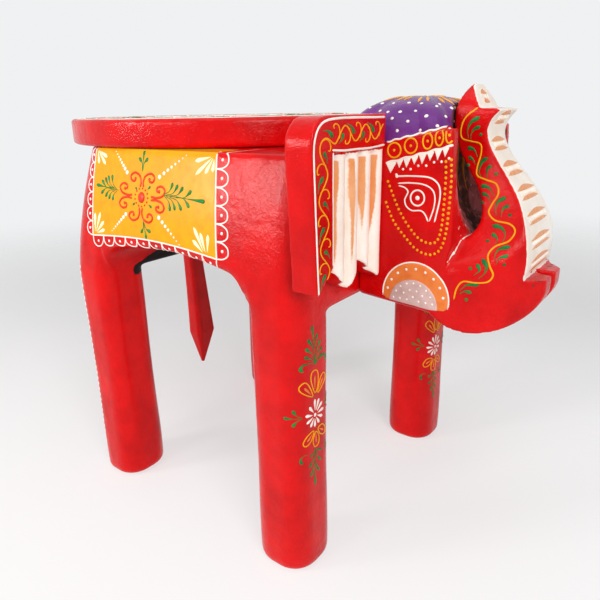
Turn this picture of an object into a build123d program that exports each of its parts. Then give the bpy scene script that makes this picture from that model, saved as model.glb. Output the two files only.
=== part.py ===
from build123d import *
from math import copysign, cos, radians, sin
import os

# Carved and painted elephant stool in mango wood, built up from glued and
# dowelled blocks. Millimetres, +X towards the trunk, +Z up, floor at z = 0.
# The origin on the floor is below the middle of the overall length and width.

# ---- overall stance -------------------------------------------------------
LEG_SPACING_X = 183.4        # leg axes, front to rear
LEG_SPACING_Y = 196.0        # leg axes, side to side
LEG_LENGTH = 187.0           # floor to the underside of the torso block
TORSO_HEIGHT = 93.5          # underside of the torso block to its top

# ---- legs -----------------------------------------------------------------
FOOT_SIDE = 45.0             # foot, nearly round
FOOT_CORNER = 19.0
FOOT_ROUND = 6.0             # rounded bottom arris
ANKLE_SIDE = 45.0
ANKLE_CORNER = 18.0
ANKLE_HEIGHT = 22.0
SHIN_SIDE = 41.5             # waist of the leg
SHIN_CORNER = 14.0
SHIN_HEIGHT = 95.0
KNEE_SIDE = 42.5
KNEE_CORNER = 15.0
KNEE_HEIGHT = 150.0
LEG_TOP_SIDE = 43.0          # where the leg meets the torso
LEG_TOP_CORNER = 16.0
TENON_DIAMETER = 24.0
TENON_LENGTH = 30.0

# ---- torso ----------------------------------------------------------------
RUMP_LEAN = 3.0              # how far the top of the rump leans forward
FLANK_LEAN = 15.0            # how far the top of each flank leans inward
TOP_CORNER = 38.0            # plan radius of the rump corners, at the top
ARCH_RISE = 27.0             # crown of the belly arch above the torso underside
ARCH_SAG = 9.0               # how far the crown arc drops towards its haunches
ARCH_HAUNCH = 17.0           # radius of the haunches
ARCH_ARRIS = 6.0             # softened lower edge of the flank

# ---- seat board -----------------------------------------------------------
SEAT_LENGTH = 262.0
SEAT_WIDTH = 213.0
SEAT_THICK = 19.5
SEAT_SETBACK = 42.7          # back of the ears to the front of the seat
SEAT_TOP_ROUND = 2.5
SEAT_UNDER_ROUND = 1.5

# ---- head and turban ------------------------------------------------------
HEAD_HALF_WIDTH = 50.0       # between the ears
BROW_FLARE = 1.5             # the brow edge stands this much further out
HEAD_LENGTH = 62.0           # torso to the brow edge
HEAD_HEIGHT = 106.0          # torso underside to the crown band's upper edge, at the brow
BROW_LEAN = 4.0              # the top of the brow leans back by this much
BAND_SLOPE = 11.0            # the crown band drops this much towards the ears
JAW_DROP = 4.0               # chin below the torso underside
JAW_LENGTH = 51.0            # torso to the trunk joint, at the chin
CHEEK_HEIGHT = 41.0          # torso underside to the crotch of the trunk
CHIN_ROUND = 4.0
BROW_ROUND = 3.0
SCOOP_RADIUS = 62.0          # hollow gouged in the brow behind the trunk
SCOOP_DEPTH = 20.0
SCOOP_FLOOR = 85.0           # centre of the scoop's round lower end, above the torso underside
TURBAN_OVERHANG = 23.0       # how far the turban reaches back over the torso
TURBAN_HEIGHT = 30.0         # crown of the turban above the top of the torso
TURBAN_LOBES = 10
TURBAN_SQUARENESS = 3.0      # 2 is an ellipse, more is squarer
TURBAN_LEAN = 5.0            # its crown lies this much behind the middle of its rim
LOBE_DEPTH = 4.0

# ---- trunk ----------------------------------------------------------------
TRUNK_REACH = 108.5          # torso to the lip tips
LIP_HEIGHT = 19.5            # lip tips above the torso underside
LIP_HALF_WIDTH = 17.0
LIP_LENGTH = 10.5            # upper edge of the lips, front to rear
LIP_GROOVE = 9.0            # width of the groove between the lips, at the tips
LIP_GROOVE_DEPTH = 17.0
TRUNK_TIP_HEIGHT = 130.5     # upper tip above the torso underside
THROAT_DEPTH = 12.5          # underside of the trunk below the torso underside
SHOULDER_ROUND = 14.0        # rounds the ridge where the trunk narrows above the cheeks

# ---- ears -----------------------------------------------------------------
EAR_THICK = 17.5
EAR_OUTER = 126.5            # outer edge from the middle plane
EAR_TAPER = 4.5              # the outer edge leans in by this much at its foot
EAR_TOP = 114.0              # above the torso underside
EAR_CORNER = 15.0
EAR_FOOT = 21.3              # bottom of the border above the torso underside
EAR_BORDER = 21.5            # width of the flat painted border down the side
EAR_HEM = 19.0               # width of the border along the top
EAR_SLANT = 12.5             # the border's lower end is cut off at a slant this high
PLEAT_TIP = 16.0             # pleat tips above the torso underside
PLEAT_NOTCH = 14.8           # depth of the notch between the two tips
PLEAT_COUNT = 4
PLEAT_START = 0.28           # first crest from the head, as a share of the pitch
PLEAT_SINK = 0.8             # crest of the pleats behind the border's face
PLEAT_RADIUS = 5.6

# ---- tail -----------------------------------------------------------------
TAIL_TOP = 60.0              # above the torso underside
TAIL_TIP_HEIGHT = 50.0       # above the floor
TAIL_BELLY_HEIGHT = 84.0     # widest place, above the floor
TAIL_BELLY_WIDTH = 24.0
TAIL_BELLY_DEPTH = 19.0
TAIL_ROOT_WIDTH = 14.0
TAIL_ROOT_DEPTH = 13.0
TAIL_END = 3.0               # blunted point
TAIL_ROOT_Y = 8.0            # the tail hangs a little to the left
TAIL_BELLY_Y = 19.0
TAIL_TIP_Y = 14.0

# ---- dowels and joints ----------------------------------------------------
SEAT_DOWEL_DIAMETER = 10.0
SEAT_DOWEL_IN_SEAT = 12.0
SEAT_DOWEL_IN_TORSO = 24.0
SEAT_DOWEL_SPACING_X = 100.0
SEAT_DOWEL_SPACING_Y = 110.0
HEAD_DOWEL_DIAMETER = 12.0
HEAD_DOWEL_IN_HEAD = 24.0
HEAD_DOWEL_IN_TORSO = 26.0
HEAD_DOWEL_SPACING = 46.0
HEAD_DOWEL_HEIGHT = 48.0     # above the torso underside
EAR_DOWEL_DIAMETER = 8.0
EAR_DOWEL_IN_EAR = 10.0
EAR_DOWEL_IN_TORSO = 16.0
EAR_DOWEL_OUT = 87.0         # from the middle plane
EAR_DOWEL_LOW = 40.0         # above the torso underside
EAR_DOWEL_HIGH = 74.0
TRUNK_DOWEL_DIAMETER = 10.0
TRUNK_DOWEL_HALF = 16.0      # depth in each of the two pieces
TRUNK_DOWEL_SPACING = 40.0
TAIL_DOWEL_DIAMETER = 6.0
TAIL_DOWEL_IN_TAIL = 7.0
TAIL_DOWEL_IN_TORSO = 18.0
BORE_CLEARANCE = 0.15        # on the radius of every bore
BORE_END_GAP = 0.5           # past the end of every dowel and tenon
SIDE_GAP = 0.3               # between the head's sides and the ears

# ---- derived places -------------------------------------------------------
LEG_X = LEG_SPACING_X / 2
LEG_Y = LEG_SPACING_Y / 2
LEG_HALF = LEG_TOP_SIDE / 2
TORSO_FRONT = LEG_X + LEG_HALF
TORSO_REAR = -(LEG_X + LEG_HALF)
TORSO_HALF_WIDTH = LEG_Y + LEG_HALF
BASE = LEG_LENGTH
SEAT_UNDERSIDE = BASE + TORSO_HEIGHT
SEAT_CENTRE_X = TORSO_FRONT - SEAT_SETBACK - SEAT_LENGTH / 2
SEAT_REAR = SEAT_CENTRE_X - SEAT_LENGTH / 2
LIP_X = TORSO_FRONT + TRUNK_REACH
MIDDLE_X = (SEAT_REAR + LIP_X) / 2
CHIN = (TORSO_FRONT + JAW_LENGTH, BASE - JAW_DROP)
CROTCH = (TORSO_FRONT + HEAD_LENGTH - 0.5, BASE + CHEEK_HEIGHT)


def bore(radius, length):
    """A round bore, centred on the dowel or tenon of that radius and length that it takes."""
    return Cylinder(radius + BORE_CLEARANCE, length + 2 * BORE_END_GAP)


def along_x(x, y, z):
    """The place of a dowel that lies front to rear, by its middle."""
    return Pos(x, y, z) * Rot(0, 90, 0)


# ---- legs -----------------------------------------------------------------
def leg(x, y):
    """Carved leg: a softly squared post with a waist, and a round tenon on top."""
    sections = [
        (0, FOOT_SIDE, FOOT_CORNER),
        (ANKLE_HEIGHT, ANKLE_SIDE, ANKLE_CORNER),
        (SHIN_HEIGHT, SHIN_SIDE, SHIN_CORNER),
        (KNEE_HEIGHT, KNEE_SIDE, KNEE_CORNER),
        (LEG_LENGTH, LEG_TOP_SIDE, LEG_TOP_CORNER),
    ]
    post = loft([Pos(0, 0, z) * RectangleRounded(side, side, corner) for z, side, corner in sections])
    post = fillet(post.faces().sort_by(Axis.Z)[0].edges(), FOOT_ROUND)
    tenon = Pos(0, 0, LEG_LENGTH + TENON_LENGTH / 2) * Cylinder(TENON_DIAMETER / 2, TENON_LENGTH)
    return Pos(x, y, 0) * (post + tenon)


# ---- dowel places, shared by the dowels and their bores -------------------
def seat_dowel_places():
    middle = SEAT_UNDERSIDE + (SEAT_DOWEL_IN_SEAT - SEAT_DOWEL_IN_TORSO) / 2
    grid = GridLocations(SEAT_DOWEL_SPACING_X, SEAT_DOWEL_SPACING_Y, 2, 2)
    return [Pos((TORSO_REAR + TORSO_FRONT - SEAT_SETBACK) / 2, 0, middle) * place for place in grid]


def head_dowel_places():
    middle = TORSO_FRONT + (HEAD_DOWEL_IN_HEAD - HEAD_DOWEL_IN_TORSO) / 2
    half = HEAD_DOWEL_SPACING / 2
    return [along_x(middle, y, BASE + HEAD_DOWEL_HEIGHT) for y in (-half, half)]


def ear_dowel_places(side):
    middle = TORSO_FRONT + (EAR_DOWEL_IN_EAR - EAR_DOWEL_IN_TORSO) / 2
    return [along_x(middle, side * EAR_DOWEL_OUT, BASE + z) for z in (EAR_DOWEL_LOW, EAR_DOWEL_HIGH)]


def joint_plane():
    """The slanted plane where the trunk is glued to the cheeks, its x axis up the joint."""
    low = Vector(CHIN[0], 0, CHIN[1])
    high = Vector(CROTCH[0], 0, CROTCH[1])
    up = (high - low).normalized()
    return Plane(origin=(low + high) * 0.5, x_dir=up, z_dir=up.cross(Vector(0, -1, 0)))


def trunk_dowel_places():
    half = TRUNK_DOWEL_SPACING / 2
    return [joint_plane().location * Pos(0, y, 0) for y in (-half, half)]


def tail_dowel_place():
    height = TAIL_TOP - TAIL_ROOT_DEPTH
    middle = rump_x(height) + (TAIL_DOWEL_IN_TORSO - TAIL_DOWEL_IN_TAIL) / 2
    return along_x(middle, TAIL_ROOT_Y + 1, BASE + height)


def dowels(places, diameter, length):
    return Part() + [place * Cylinder(diameter / 2, length) for place in places]


# ---- torso ----------------------------------------------------------------
def lean(share):
    """Share of the full inward lean at a share of the torso's height: slow at first, then quicker."""
    return share ** 1.7


def rump_x(height):
    """Rear face of the torso at a height above its underside."""
    return TORSO_REAR + RUMP_LEAN * lean(height / TORSO_HEIGHT)


def torso_section(share):
    """Plan outline of the torso at a share of its height: flat front, round rump corners."""
    half = TORSO_HALF_WIDTH - FLANK_LEAN * lean(share)
    rear = rump_x(share * TORSO_HEIGHT)
    rear_corner = LEG_TOP_CORNER + (TOP_CORNER - LEG_TOP_CORNER) * share
    outline = Polyline((rear, -half), (TORSO_FRONT, -half), (TORSO_FRONT, half), (rear, half), close=True)
    plan = make_face(outline)
    rear_edges = plan.vertices().group_by(Axis.X)[0]
    plan = fillet(rear_edges, rear_corner)
    plan = fillet(plan.vertices().group_by(Axis.X)[-1], LEG_TOP_CORNER)
    return Pos(0, 0, BASE + share * TORSO_HEIGHT) * plan


def belly_arch():
    """The arch through the belly from side to side, between the front and rear legs."""
    spring = LEG_X - LEG_HALF
    shoulder = ARCH_RISE - ARCH_SAG
    drop = 2 * ARCH_HAUNCH
    crown = ThreePointArc((-spring, shoulder), (0, ARCH_RISE), (spring, shoulder))
    sides = Polyline((spring, shoulder), (spring, -drop), (-spring, -drop), (-spring, shoulder))
    opening = make_face(crown + sides)
    opening = fillet(opening.vertices().group_by(Axis.Y)[-1], ARCH_HAUNCH)
    return Pos(0, 0, BASE) * extrude(Plane.XZ * opening, TORSO_HALF_WIDTH * 2, both=True)


def haunch_corner(radius):
    """What a corner rounded to that radius leaves over, with the square corner at the origin."""
    arc = RadiusArc((radius, 0), (0, radius), radius)
    return make_face(Polyline((0, radius), (0, 0), (radius, 0)) + arc)


def haunch_reliefs():
    """Cuts that round the four arch corners at the legs and run out up the haunches."""
    low = Pos(0, 0, BASE) * haunch_corner(LEG_TOP_CORNER)
    high = Pos(0, 0, BASE + ARCH_RISE) * haunch_corner(ARCH_ARRIS / 2)
    cut = Pos(LEG_X - LEG_HALF, -TORSO_HALF_WIDTH, 0) * loft([low, high])
    pair = [cut, mirror(cut, about=Plane.YZ)]
    return pair + [mirror(piece, about=Plane.XZ) for piece in pair]


def torso():
    """Barrel-sided block with a belly arch, leg mortises and dowel bores."""
    block = loft([torso_section(share) for share in (0, 0.3, 0.6, 0.85, 1)])
    block -= belly_arch()
    arch_faces = block.faces().filter_by(GeomType.CYLINDER).filter_by(lambda f: abs(f.center().X) < LEG_X)
    flank_edges = [e for f in arch_faces for e in f.edges() if abs(e.center().Y) > LEG_Y]
    block = fillet(flank_edges, ARCH_ARRIS)
    for relief in haunch_reliefs():
        block -= relief
    for x in (-LEG_X, LEG_X):
        for y in (-LEG_Y, LEG_Y):
            block -= Pos(x, y, BASE + TENON_LENGTH / 2) * bore(TENON_DIAMETER / 2, TENON_LENGTH)
    for place in seat_dowel_places():
        block -= place * bore(SEAT_DOWEL_DIAMETER / 2, SEAT_DOWEL_IN_SEAT + SEAT_DOWEL_IN_TORSO)
    for place in head_dowel_places():
        block -= place * bore(HEAD_DOWEL_DIAMETER / 2, HEAD_DOWEL_IN_HEAD + HEAD_DOWEL_IN_TORSO)
    for place in ear_dowel_places(-1) + ear_dowel_places(1):
        block -= place * bore(EAR_DOWEL_DIAMETER / 2, EAR_DOWEL_IN_EAR + EAR_DOWEL_IN_TORSO)
    block -= tail_dowel_place() * bore(TAIL_DOWEL_DIAMETER / 2, TAIL_DOWEL_IN_TAIL + TAIL_DOWEL_IN_TORSO)
    return block


# ---- seat board -----------------------------------------------------------
def seat():
    """Oval board with softened edges, bored from below for its dowels."""
    oval = Ellipse(SEAT_LENGTH / 2, SEAT_WIDTH / 2)
    board = extrude(Pos(SEAT_CENTRE_X, 0, SEAT_UNDERSIDE) * oval, SEAT_THICK)
    board = fillet(board.faces().sort_by(Axis.Z)[-1].edges(), SEAT_TOP_ROUND)
    board = fillet(board.faces().sort_by(Axis.Z)[0].edges(), SEAT_UNDER_ROUND)
    for place in seat_dowel_places():
        board -= place * bore(SEAT_DOWEL_DIAMETER / 2, SEAT_DOWEL_IN_SEAT + SEAT_DOWEL_IN_TORSO)
    return board


# ---- head and turban ------------------------------------------------------
def head_plan():
    """Plan outline of the head: straight between the ears, flaring to the brow edge."""
    ear_front = TORSO_FRONT + EAR_THICK
    brow = TORSO_FRONT + HEAD_LENGTH
    near = [(TORSO_FRONT, -HEAD_HALF_WIDTH), (ear_front, -HEAD_HALF_WIDTH)]
    flare = [near[1], ((ear_front + brow) / 2, -HEAD_HALF_WIDTH), (brow, -HEAD_HALF_WIDTH - BROW_FLARE)]
    half = Line(near[0], near[1]) + Spline(*flare, tangents=[(1, 0), (1, -BROW_FLARE / 10)])
    outline = half + mirror(half, about=Plane.XZ)
    outline += Line((brow, -HEAD_HALF_WIDTH - BROW_FLARE), (brow, HEAD_HALF_WIDTH + BROW_FLARE))
    outline += Line((TORSO_FRONT, -HEAD_HALF_WIDTH), (TORSO_FRONT, HEAD_HALF_WIDTH))
    return make_face(outline)


def head_side():
    """Side outline of the head, from the torso to the jaw, the trunk joint and the brow."""
    brow_top = (TORSO_FRONT + HEAD_LENGTH - BROW_LEAN, BASE + HEAD_HEIGHT)
    rear_top = (TORSO_FRONT, BASE + HEAD_HEIGHT - BAND_SLOPE)
    return make_face(Polyline((TORSO_FRONT, BASE), CHIN, CROTCH, brow_top, rear_top, close=True))


def turban_rim(angle, inset):
    """A point of the turban's squarish oval rim, at an angle in degrees, moved in by the inset."""
    power = 2 / TURBAN_SQUARENESS
    across = copysign(abs(cos(radians(angle))) ** power, cos(radians(angle)))
    aside = copysign(abs(sin(radians(angle))) ** power, sin(radians(angle)))
    half_length = (HEAD_LENGTH + TURBAN_OVERHANG) / 2 - inset
    return Vector(half_length * across, (HEAD_HALF_WIDTH - inset) * aside)


def turban_section(share):
    """Lobed plan outline of the turban, a ring of shallow scallops about a squarish oval."""
    step = 360 / TURBAN_LOBES
    outline = Curve()
    for lobe in range(TURBAN_LOBES):
        start = turban_rim(lobe * step, LOBE_DEPTH) * share
        crest = turban_rim((lobe + 0.5) * step, 0) * share
        end = turban_rim((lobe + 1) * step, LOBE_DEPTH) * share
        outline += ThreePointArc(start, crest, end)
    return make_face(outline)


def turban():
    """Lobed dome that rests on the head and reaches back over the torso."""
    x = TORSO_FRONT + (HEAD_LENGTH - TURBAN_OVERHANG) / 2
    profile = [(0, 0.95), (0.25, 0.99), (0.5, 0.93), (0.72, 0.79), (0.9, 0.55), (1, 0.2)]
    sections = []
    for up, share in profile:
        middle = Pos(x - TURBAN_LEAN * up, 0, SEAT_UNDERSIDE + TURBAN_HEIGHT * up)
        sections.append(middle * turban_section(share))
    return loft(sections)


def scoop():
    """The hollow gouged in the brow behind the trunk, round at its lower end."""
    x = TORSO_FRONT + HEAD_LENGTH - SCOOP_DEPTH + SCOOP_RADIUS
    height = TORSO_HEIGHT + TURBAN_HEIGHT * 2 - SCOOP_FLOOR
    shaft = Pos(x, 0, BASE + SCOOP_FLOOR + height / 2) * Cylinder(SCOOP_RADIUS, height)
    return shaft + Pos(x, 0, BASE + SCOOP_FLOOR) * Sphere(SCOOP_RADIUS)


def head():
    """Head block with jaw, flared brow, crown band and lobed turban."""
    block = extrude(Pos(0, 0, BASE - JAW_DROP * 2) * head_plan(), HEAD_HEIGHT + JAW_DROP * 2)
    block &= extrude(Plane.XZ * head_side(), HEAD_HALF_WIDTH * 2, both=True)
    curved = block.edges().filter_by(GeomType.BSPLINE)
    block = fillet(curved.filter_by(lambda e: e.center().Z < BASE + JAW_DROP), CHIN_ROUND)
    curved = block.edges().filter_by(GeomType.BSPLINE)
    brow = curved.filter_by(lambda e: BASE + CHEEK_HEIGHT < e.center().Z < BASE + HEAD_HEIGHT - BAND_SLOPE)
    block = fillet(brow, BROW_ROUND)
    block += turban()
    block -= scoop()
    for place in head_dowel_places():
        block -= place * bore(HEAD_DOWEL_DIAMETER / 2, HEAD_DOWEL_IN_HEAD + HEAD_DOWEL_IN_TORSO)
    for place in trunk_dowel_places():
        block -= place * bore(TRUNK_DOWEL_DIAMETER / 2, TRUNK_DOWEL_HALF * 2)
    return block


# ---- trunk ----------------------------------------------------------------
def trunk_side():
    """Side outline of the raised trunk: throat, lips, front face, forked tip and inner face."""
    def at(along, up):
        """A point by its shares of the trunk's reach and height."""
        return (TORSO_FRONT + TRUNK_REACH * along, BASE + TRUNK_TIP_HEIGHT * up)

    lip = (LIP_X, BASE + LIP_HEIGHT)
    lip_root = (LIP_X - LIP_LENGTH, BASE + LIP_HEIGHT)
    throat_low = (CHIN[0] + THROAT_DEPTH * 2, BASE - THROAT_DEPTH)
    front_tip = at(0.677, 0.883)
    upper_tip = at(0.479, 1)
    throat = Spline(CHIN, throat_low, at(0.866, -0.061), at(0.977, 0.031), lip)
    lips = Line(lip, lip_root)
    front = Spline(lip_root, at(0.908, 0.299), at(0.811, 0.513), at(0.645, 0.697), at(0.608, 0.766), front_tip)
    fork = Polyline(front_tip, at(0.553, 0.887), upper_tip)
    inner = Spline(upper_tip, at(0.415, 0.843), at(0.47, 0.674), at(0.608, 0.506), at(0.636, 0.398), CROTCH)
    joint = Line(CROTCH, CHIN)
    return make_face(throat + lips + front + fork + inner + joint)


def trunk_front():
    """Front outline of the trunk: wide at the cheeks, narrowing to the upper tip."""
    low = BASE - THROAT_DEPTH * 2
    cheek = (HEAD_HALF_WIDTH + BROW_FLARE, BASE + CHEEK_HEIGHT * 0.7)
    shares = [(0.64, 0.345), (0.44, 0.513), (0.33, 0.716), (0.356, 0.877), (0.05, 1.008)]
    half = [cheek] + [(HEAD_HALF_WIDTH * out, BASE + TRUNK_TIP_HEIGHT * up) for out, up in shares]
    right = Spline(*half)
    left = mirror(right, about=Plane.YZ)
    foot = Polyline(half[0], (half[0][0], low), (-half[0][0], low), (-half[0][0], half[0][1]))
    top = Line(half[-1], (-half[-1][0], half[-1][1]))
    return make_face(right + left + foot + top)


def trunk_plan():
    """Plan outline of the trunk: as wide as the cheeks at the joint, narrowing to the lips."""
    back = TORSO_FRONT
    half = [(CHIN[0] - JAW_DROP, HEAD_HALF_WIDTH + BROW_FLARE / 4),
            (CHIN[0] + JAW_DROP, HEAD_HALF_WIDTH + BROW_FLARE / 3), (back + HEAD_LENGTH, HEAD_HALF_WIDTH),
            (back + HEAD_LENGTH * 1.26, HEAD_HALF_WIDTH * 0.89),
            (back + HEAD_LENGTH * 1.5, HEAD_HALF_WIDTH * 0.68), (LIP_X, LIP_HALF_WIDTH)]
    side = Spline(*half)
    other = mirror(side, about=Plane.XZ)
    start = Polyline(half[0], (back, half[0][1]), (back, -half[0][1]), (half[0][0], -half[0][1]))
    end = Line(half[-1], (half[-1][0], -half[-1][1]))
    return make_face(side + other + start + end)


def lip_groove():
    """Wedge between the two lips."""
    root = (LIP_X - LIP_GROOVE_DEPTH, 0)
    wedge = Polyline(root, (LIP_X + 1, -LIP_GROOVE / 2), (LIP_X + 1, LIP_GROOVE / 2), close=True)
    return extrude(Pos(0, 0, BASE - THROAT_DEPTH * 2) * make_face(wedge), LIP_HEIGHT + THROAT_DEPTH * 2 + 1)


def is_trunk_shoulder(edge):
    """Whether an edge is the ridge where the cheeks' width gives way to the narrow trunk."""
    middle = edge @ 0.5
    in_front = middle.X > TORSO_FRONT + HEAD_LENGTH and abs(middle.Y) > LIP_HALF_WIDTH * 2
    return in_front and BASE + LIP_HEIGHT < middle.Z < BASE + CHEEK_HEIGHT


def trunk():
    """Trunk raised in front of the brow, with two pointed lips at its foot."""
    body = extrude(Plane.XZ * trunk_side(), HEAD_HALF_WIDTH * 2, both=True)
    reach = Pos(TORSO_FRONT, 0, 0) * extrude(Plane.YZ * trunk_front(), TRUNK_REACH * 2)
    body &= reach
    body &= extrude(Pos(0, 0, BASE - THROAT_DEPTH * 2) * trunk_plan(), TRUNK_TIP_HEIGHT + THROAT_DEPTH * 4)
    shoulders = body.edges().filter_by(is_trunk_shoulder)
    body = fillet(shoulders, SHOULDER_ROUND)
    body -= lip_groove()
    for place in trunk_dowel_places():
        body -= place * bore(TRUNK_DOWEL_DIAMETER / 2, TRUNK_DOWEL_HALF * 2)
    return body


# ---- ears -----------------------------------------------------------------
def ear_outline():
    """Front outline of an ear: straight sides, round top corner, two pleat points below."""
    inner = HEAD_HALF_WIDTH + SIDE_GAP
    border = EAR_OUTER - EAR_BORDER
    width = border - inner
    foot = EAR_OUTER - EAR_TAPER
    points = [
        (inner, EAR_TOP), (EAR_OUTER, EAR_TOP), (foot, EAR_FOOT), (foot - EAR_SLANT / 5, EAR_FOOT),
        (border, EAR_FOOT + EAR_SLANT), (border - width * 0.02, EAR_FOOT + EAR_SLANT),
        (border - width * 0.165, PLEAT_TIP + PLEAT_NOTCH * 0.56), (border - width * 0.35, PLEAT_TIP),
        (border - width * 0.58, PLEAT_TIP + PLEAT_NOTCH), (border - width * 0.95, PLEAT_TIP),
        (inner, PLEAT_TIP + PLEAT_NOTCH / 6),
    ]
    outline = make_face(Polyline(*points, close=True))
    corner = outline.vertices().sort_by(Axis.X)[-1]
    return Pos(0, BASE) * fillet(corner, EAR_CORNER)


def pleats():
    """Upright rounded pleats between the border and the head, drawn as bars to add to the slab."""
    inner = HEAD_HALF_WIDTH + SIDE_GAP
    pitch = (EAR_OUTER - EAR_BORDER - inner) / PLEAT_COUNT
    x = TORSO_FRONT + EAR_THICK - PLEAT_SINK - PLEAT_RADIUS
    height = EAR_TOP - EAR_HEM
    bars = Part()
    for index in range(PLEAT_COUNT):
        y = inner + pitch * (index + PLEAT_START)
        bars += Pos(x, y, BASE + height / 2) * Cylinder(PLEAT_RADIUS, height)
    return bars


def ear(side):
    """Ear slab with a flat border along its top and outer side, and pleats carved below it."""
    slab = extrude(Plane.YZ * ear_outline(), EAR_THICK)
    inner = HEAD_HALF_WIDTH + SIDE_GAP
    width = EAR_OUTER - EAR_BORDER - inner
    sunk = EAR_THICK - PLEAT_SINK - PLEAT_RADIUS
    window = Box(EAR_THICK, width, EAR_TOP, align=(Align.MIN, Align.MIN, Align.MIN))
    recess = Pos(sunk, inner, BASE - EAR_HEM) * window
    carved = (slab - recess) + (Pos(-TORSO_FRONT, 0, 0) * pleats() & slab)
    piece = Pos(TORSO_FRONT, 0, 0) * carved
    for place in ear_dowel_places(1):
        piece -= place * bore(EAR_DOWEL_DIAMETER / 2, EAR_DOWEL_IN_EAR + EAR_DOWEL_IN_TORSO)
    return piece if side > 0 else mirror(piece, about=Plane.XZ)


# ---- tail -----------------------------------------------------------------
def tail():
    """Tail that lies on the rump, hangs free below it, widens and ends in a point."""
    root_x = rump_x(TAIL_TOP) - TAIL_ROOT_DEPTH / 2 + 0.5
    hang_x = TORSO_REAR - TAIL_ROOT_DEPTH / 2
    hang_y = (TAIL_ROOT_Y + TAIL_BELLY_Y) / 2
    root = Pos(root_x, TAIL_ROOT_Y, BASE + TAIL_TOP) * tail_section(TAIL_ROOT_DEPTH, TAIL_ROOT_WIDTH)
    hang = Pos(hang_x, hang_y, BASE) * tail_section(TAIL_ROOT_DEPTH + 1, TAIL_ROOT_WIDTH + 2)
    belly = Pos(hang_x, TAIL_BELLY_Y, TAIL_BELLY_HEIGHT) * tail_section(TAIL_BELLY_DEPTH, TAIL_BELLY_WIDTH)
    tip = Pos(hang_x + 3, TAIL_TIP_Y, TAIL_TIP_HEIGHT) * tail_section(TAIL_END, TAIL_END)
    piece = loft([root, hang, belly]) + loft([belly, tip], ruled=True) - torso_blank()
    return piece - tail_dowel_place() * bore(TAIL_DOWEL_DIAMETER / 2, TAIL_DOWEL_IN_TAIL + TAIL_DOWEL_IN_TORSO)


def tail_section(depth, width):
    return RectangleRounded(depth, width, min(depth, width) * 0.3)


def torso_blank():
    """The torso's outer form alone, to seat the tail on the rump."""
    return loft([torso_section(share) for share in (0, 0.3, 0.6, 0.85, 1)])


# ---- assembly -------------------------------------------------------------
def pieces():
    """Every separate piece by its node name."""
    return {
        "seat_board": seat(),
        "torso_block": torso(),
        "leg_front_right": leg(LEG_X, -LEG_Y),
        "leg_front_left": leg(LEG_X, LEG_Y),
        "leg_rear_right": leg(-LEG_X, -LEG_Y),
        "leg_rear_left": leg(-LEG_X, LEG_Y),
        "head_block": head(),
        "trunk": trunk(),
        "ear_right": ear(-1),
        "ear_left": ear(1),
        "tail": tail(),
        "seat_dowels": dowels(seat_dowel_places(), SEAT_DOWEL_DIAMETER,
                              SEAT_DOWEL_IN_SEAT + SEAT_DOWEL_IN_TORSO),
        "head_dowels": dowels(head_dowel_places(), HEAD_DOWEL_DIAMETER,
                              HEAD_DOWEL_IN_HEAD + HEAD_DOWEL_IN_TORSO),
        "ear_dowels_right": dowels(ear_dowel_places(-1), EAR_DOWEL_DIAMETER,
                                   EAR_DOWEL_IN_EAR + EAR_DOWEL_IN_TORSO),
        "ear_dowels_left": dowels(ear_dowel_places(1), EAR_DOWEL_DIAMETER,
                                  EAR_DOWEL_IN_EAR + EAR_DOWEL_IN_TORSO),
        "trunk_dowels": dowels(trunk_dowel_places(), TRUNK_DOWEL_DIAMETER, TRUNK_DOWEL_HALF * 2),
        "tail_dowel": dowels([tail_dowel_place()], TAIL_DOWEL_DIAMETER,
                             TAIL_DOWEL_IN_TAIL + TAIL_DOWEL_IN_TORSO),
    }


def main():
    os.makedirs("parts", exist_ok=True)
    for name, solid in pieces().items():
        export_step(Pos(-MIDDLE_X, 0, 0) * solid, f"parts/{name}.step")
        print(name, len(solid.solids()), round(solid.volume), solid.is_valid)


main()
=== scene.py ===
import logging
import math
import random
from collections.abc import Callable, Iterable, Sequence
from dataclasses import dataclass, field
from enum import Enum
from typing import Any

import bmesh
import bpy
import numpy as np
from mathutils import Matrix, Vector, noise
from mathutils.bvhtree import BVHTree


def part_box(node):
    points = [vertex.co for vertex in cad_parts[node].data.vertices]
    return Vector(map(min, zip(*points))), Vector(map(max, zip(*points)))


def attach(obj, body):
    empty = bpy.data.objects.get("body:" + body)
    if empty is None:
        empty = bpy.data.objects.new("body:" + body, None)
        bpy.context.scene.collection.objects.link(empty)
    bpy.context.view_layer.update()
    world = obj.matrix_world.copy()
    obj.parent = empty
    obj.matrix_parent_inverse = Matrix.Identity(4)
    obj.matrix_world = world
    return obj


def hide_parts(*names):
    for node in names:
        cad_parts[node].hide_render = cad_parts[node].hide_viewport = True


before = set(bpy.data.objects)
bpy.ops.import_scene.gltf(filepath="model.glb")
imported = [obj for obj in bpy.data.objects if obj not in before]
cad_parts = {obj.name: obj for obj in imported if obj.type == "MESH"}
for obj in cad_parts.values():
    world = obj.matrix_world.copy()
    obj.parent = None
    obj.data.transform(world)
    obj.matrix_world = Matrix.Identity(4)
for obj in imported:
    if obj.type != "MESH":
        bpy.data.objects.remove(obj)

LOG = logging.getLogger("elephant_stool")
MM = 0.001
OUTSIDE = 0.2  # metres from an axis at which rays start
NOWHERE = -9.0  # distance into a painted area that a piece doesn't have
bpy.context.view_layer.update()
Point = tuple[float, float]
Colour = tuple[float, float, float, float]


# ---- colours and nodes ----------------------------------------------------
def linear(hex_colour: str) -> Colour:
    """Turn an sRGB hex colour into linear values.

    Args:
        hex_colour: six hex digits after a hash.

    Returns:
        Linear red, green, blue and an alpha of one.
    """
    parts = [int(hex_colour[i:i + 2], 16) / 255 for i in (1, 3, 5)]
    red, green, blue = (c / 12.92 if c <= 0.04045 else ((c + 0.055) / 1.055) ** 2.4 for c in parts)
    return (red, green, blue, 1.0)


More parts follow.
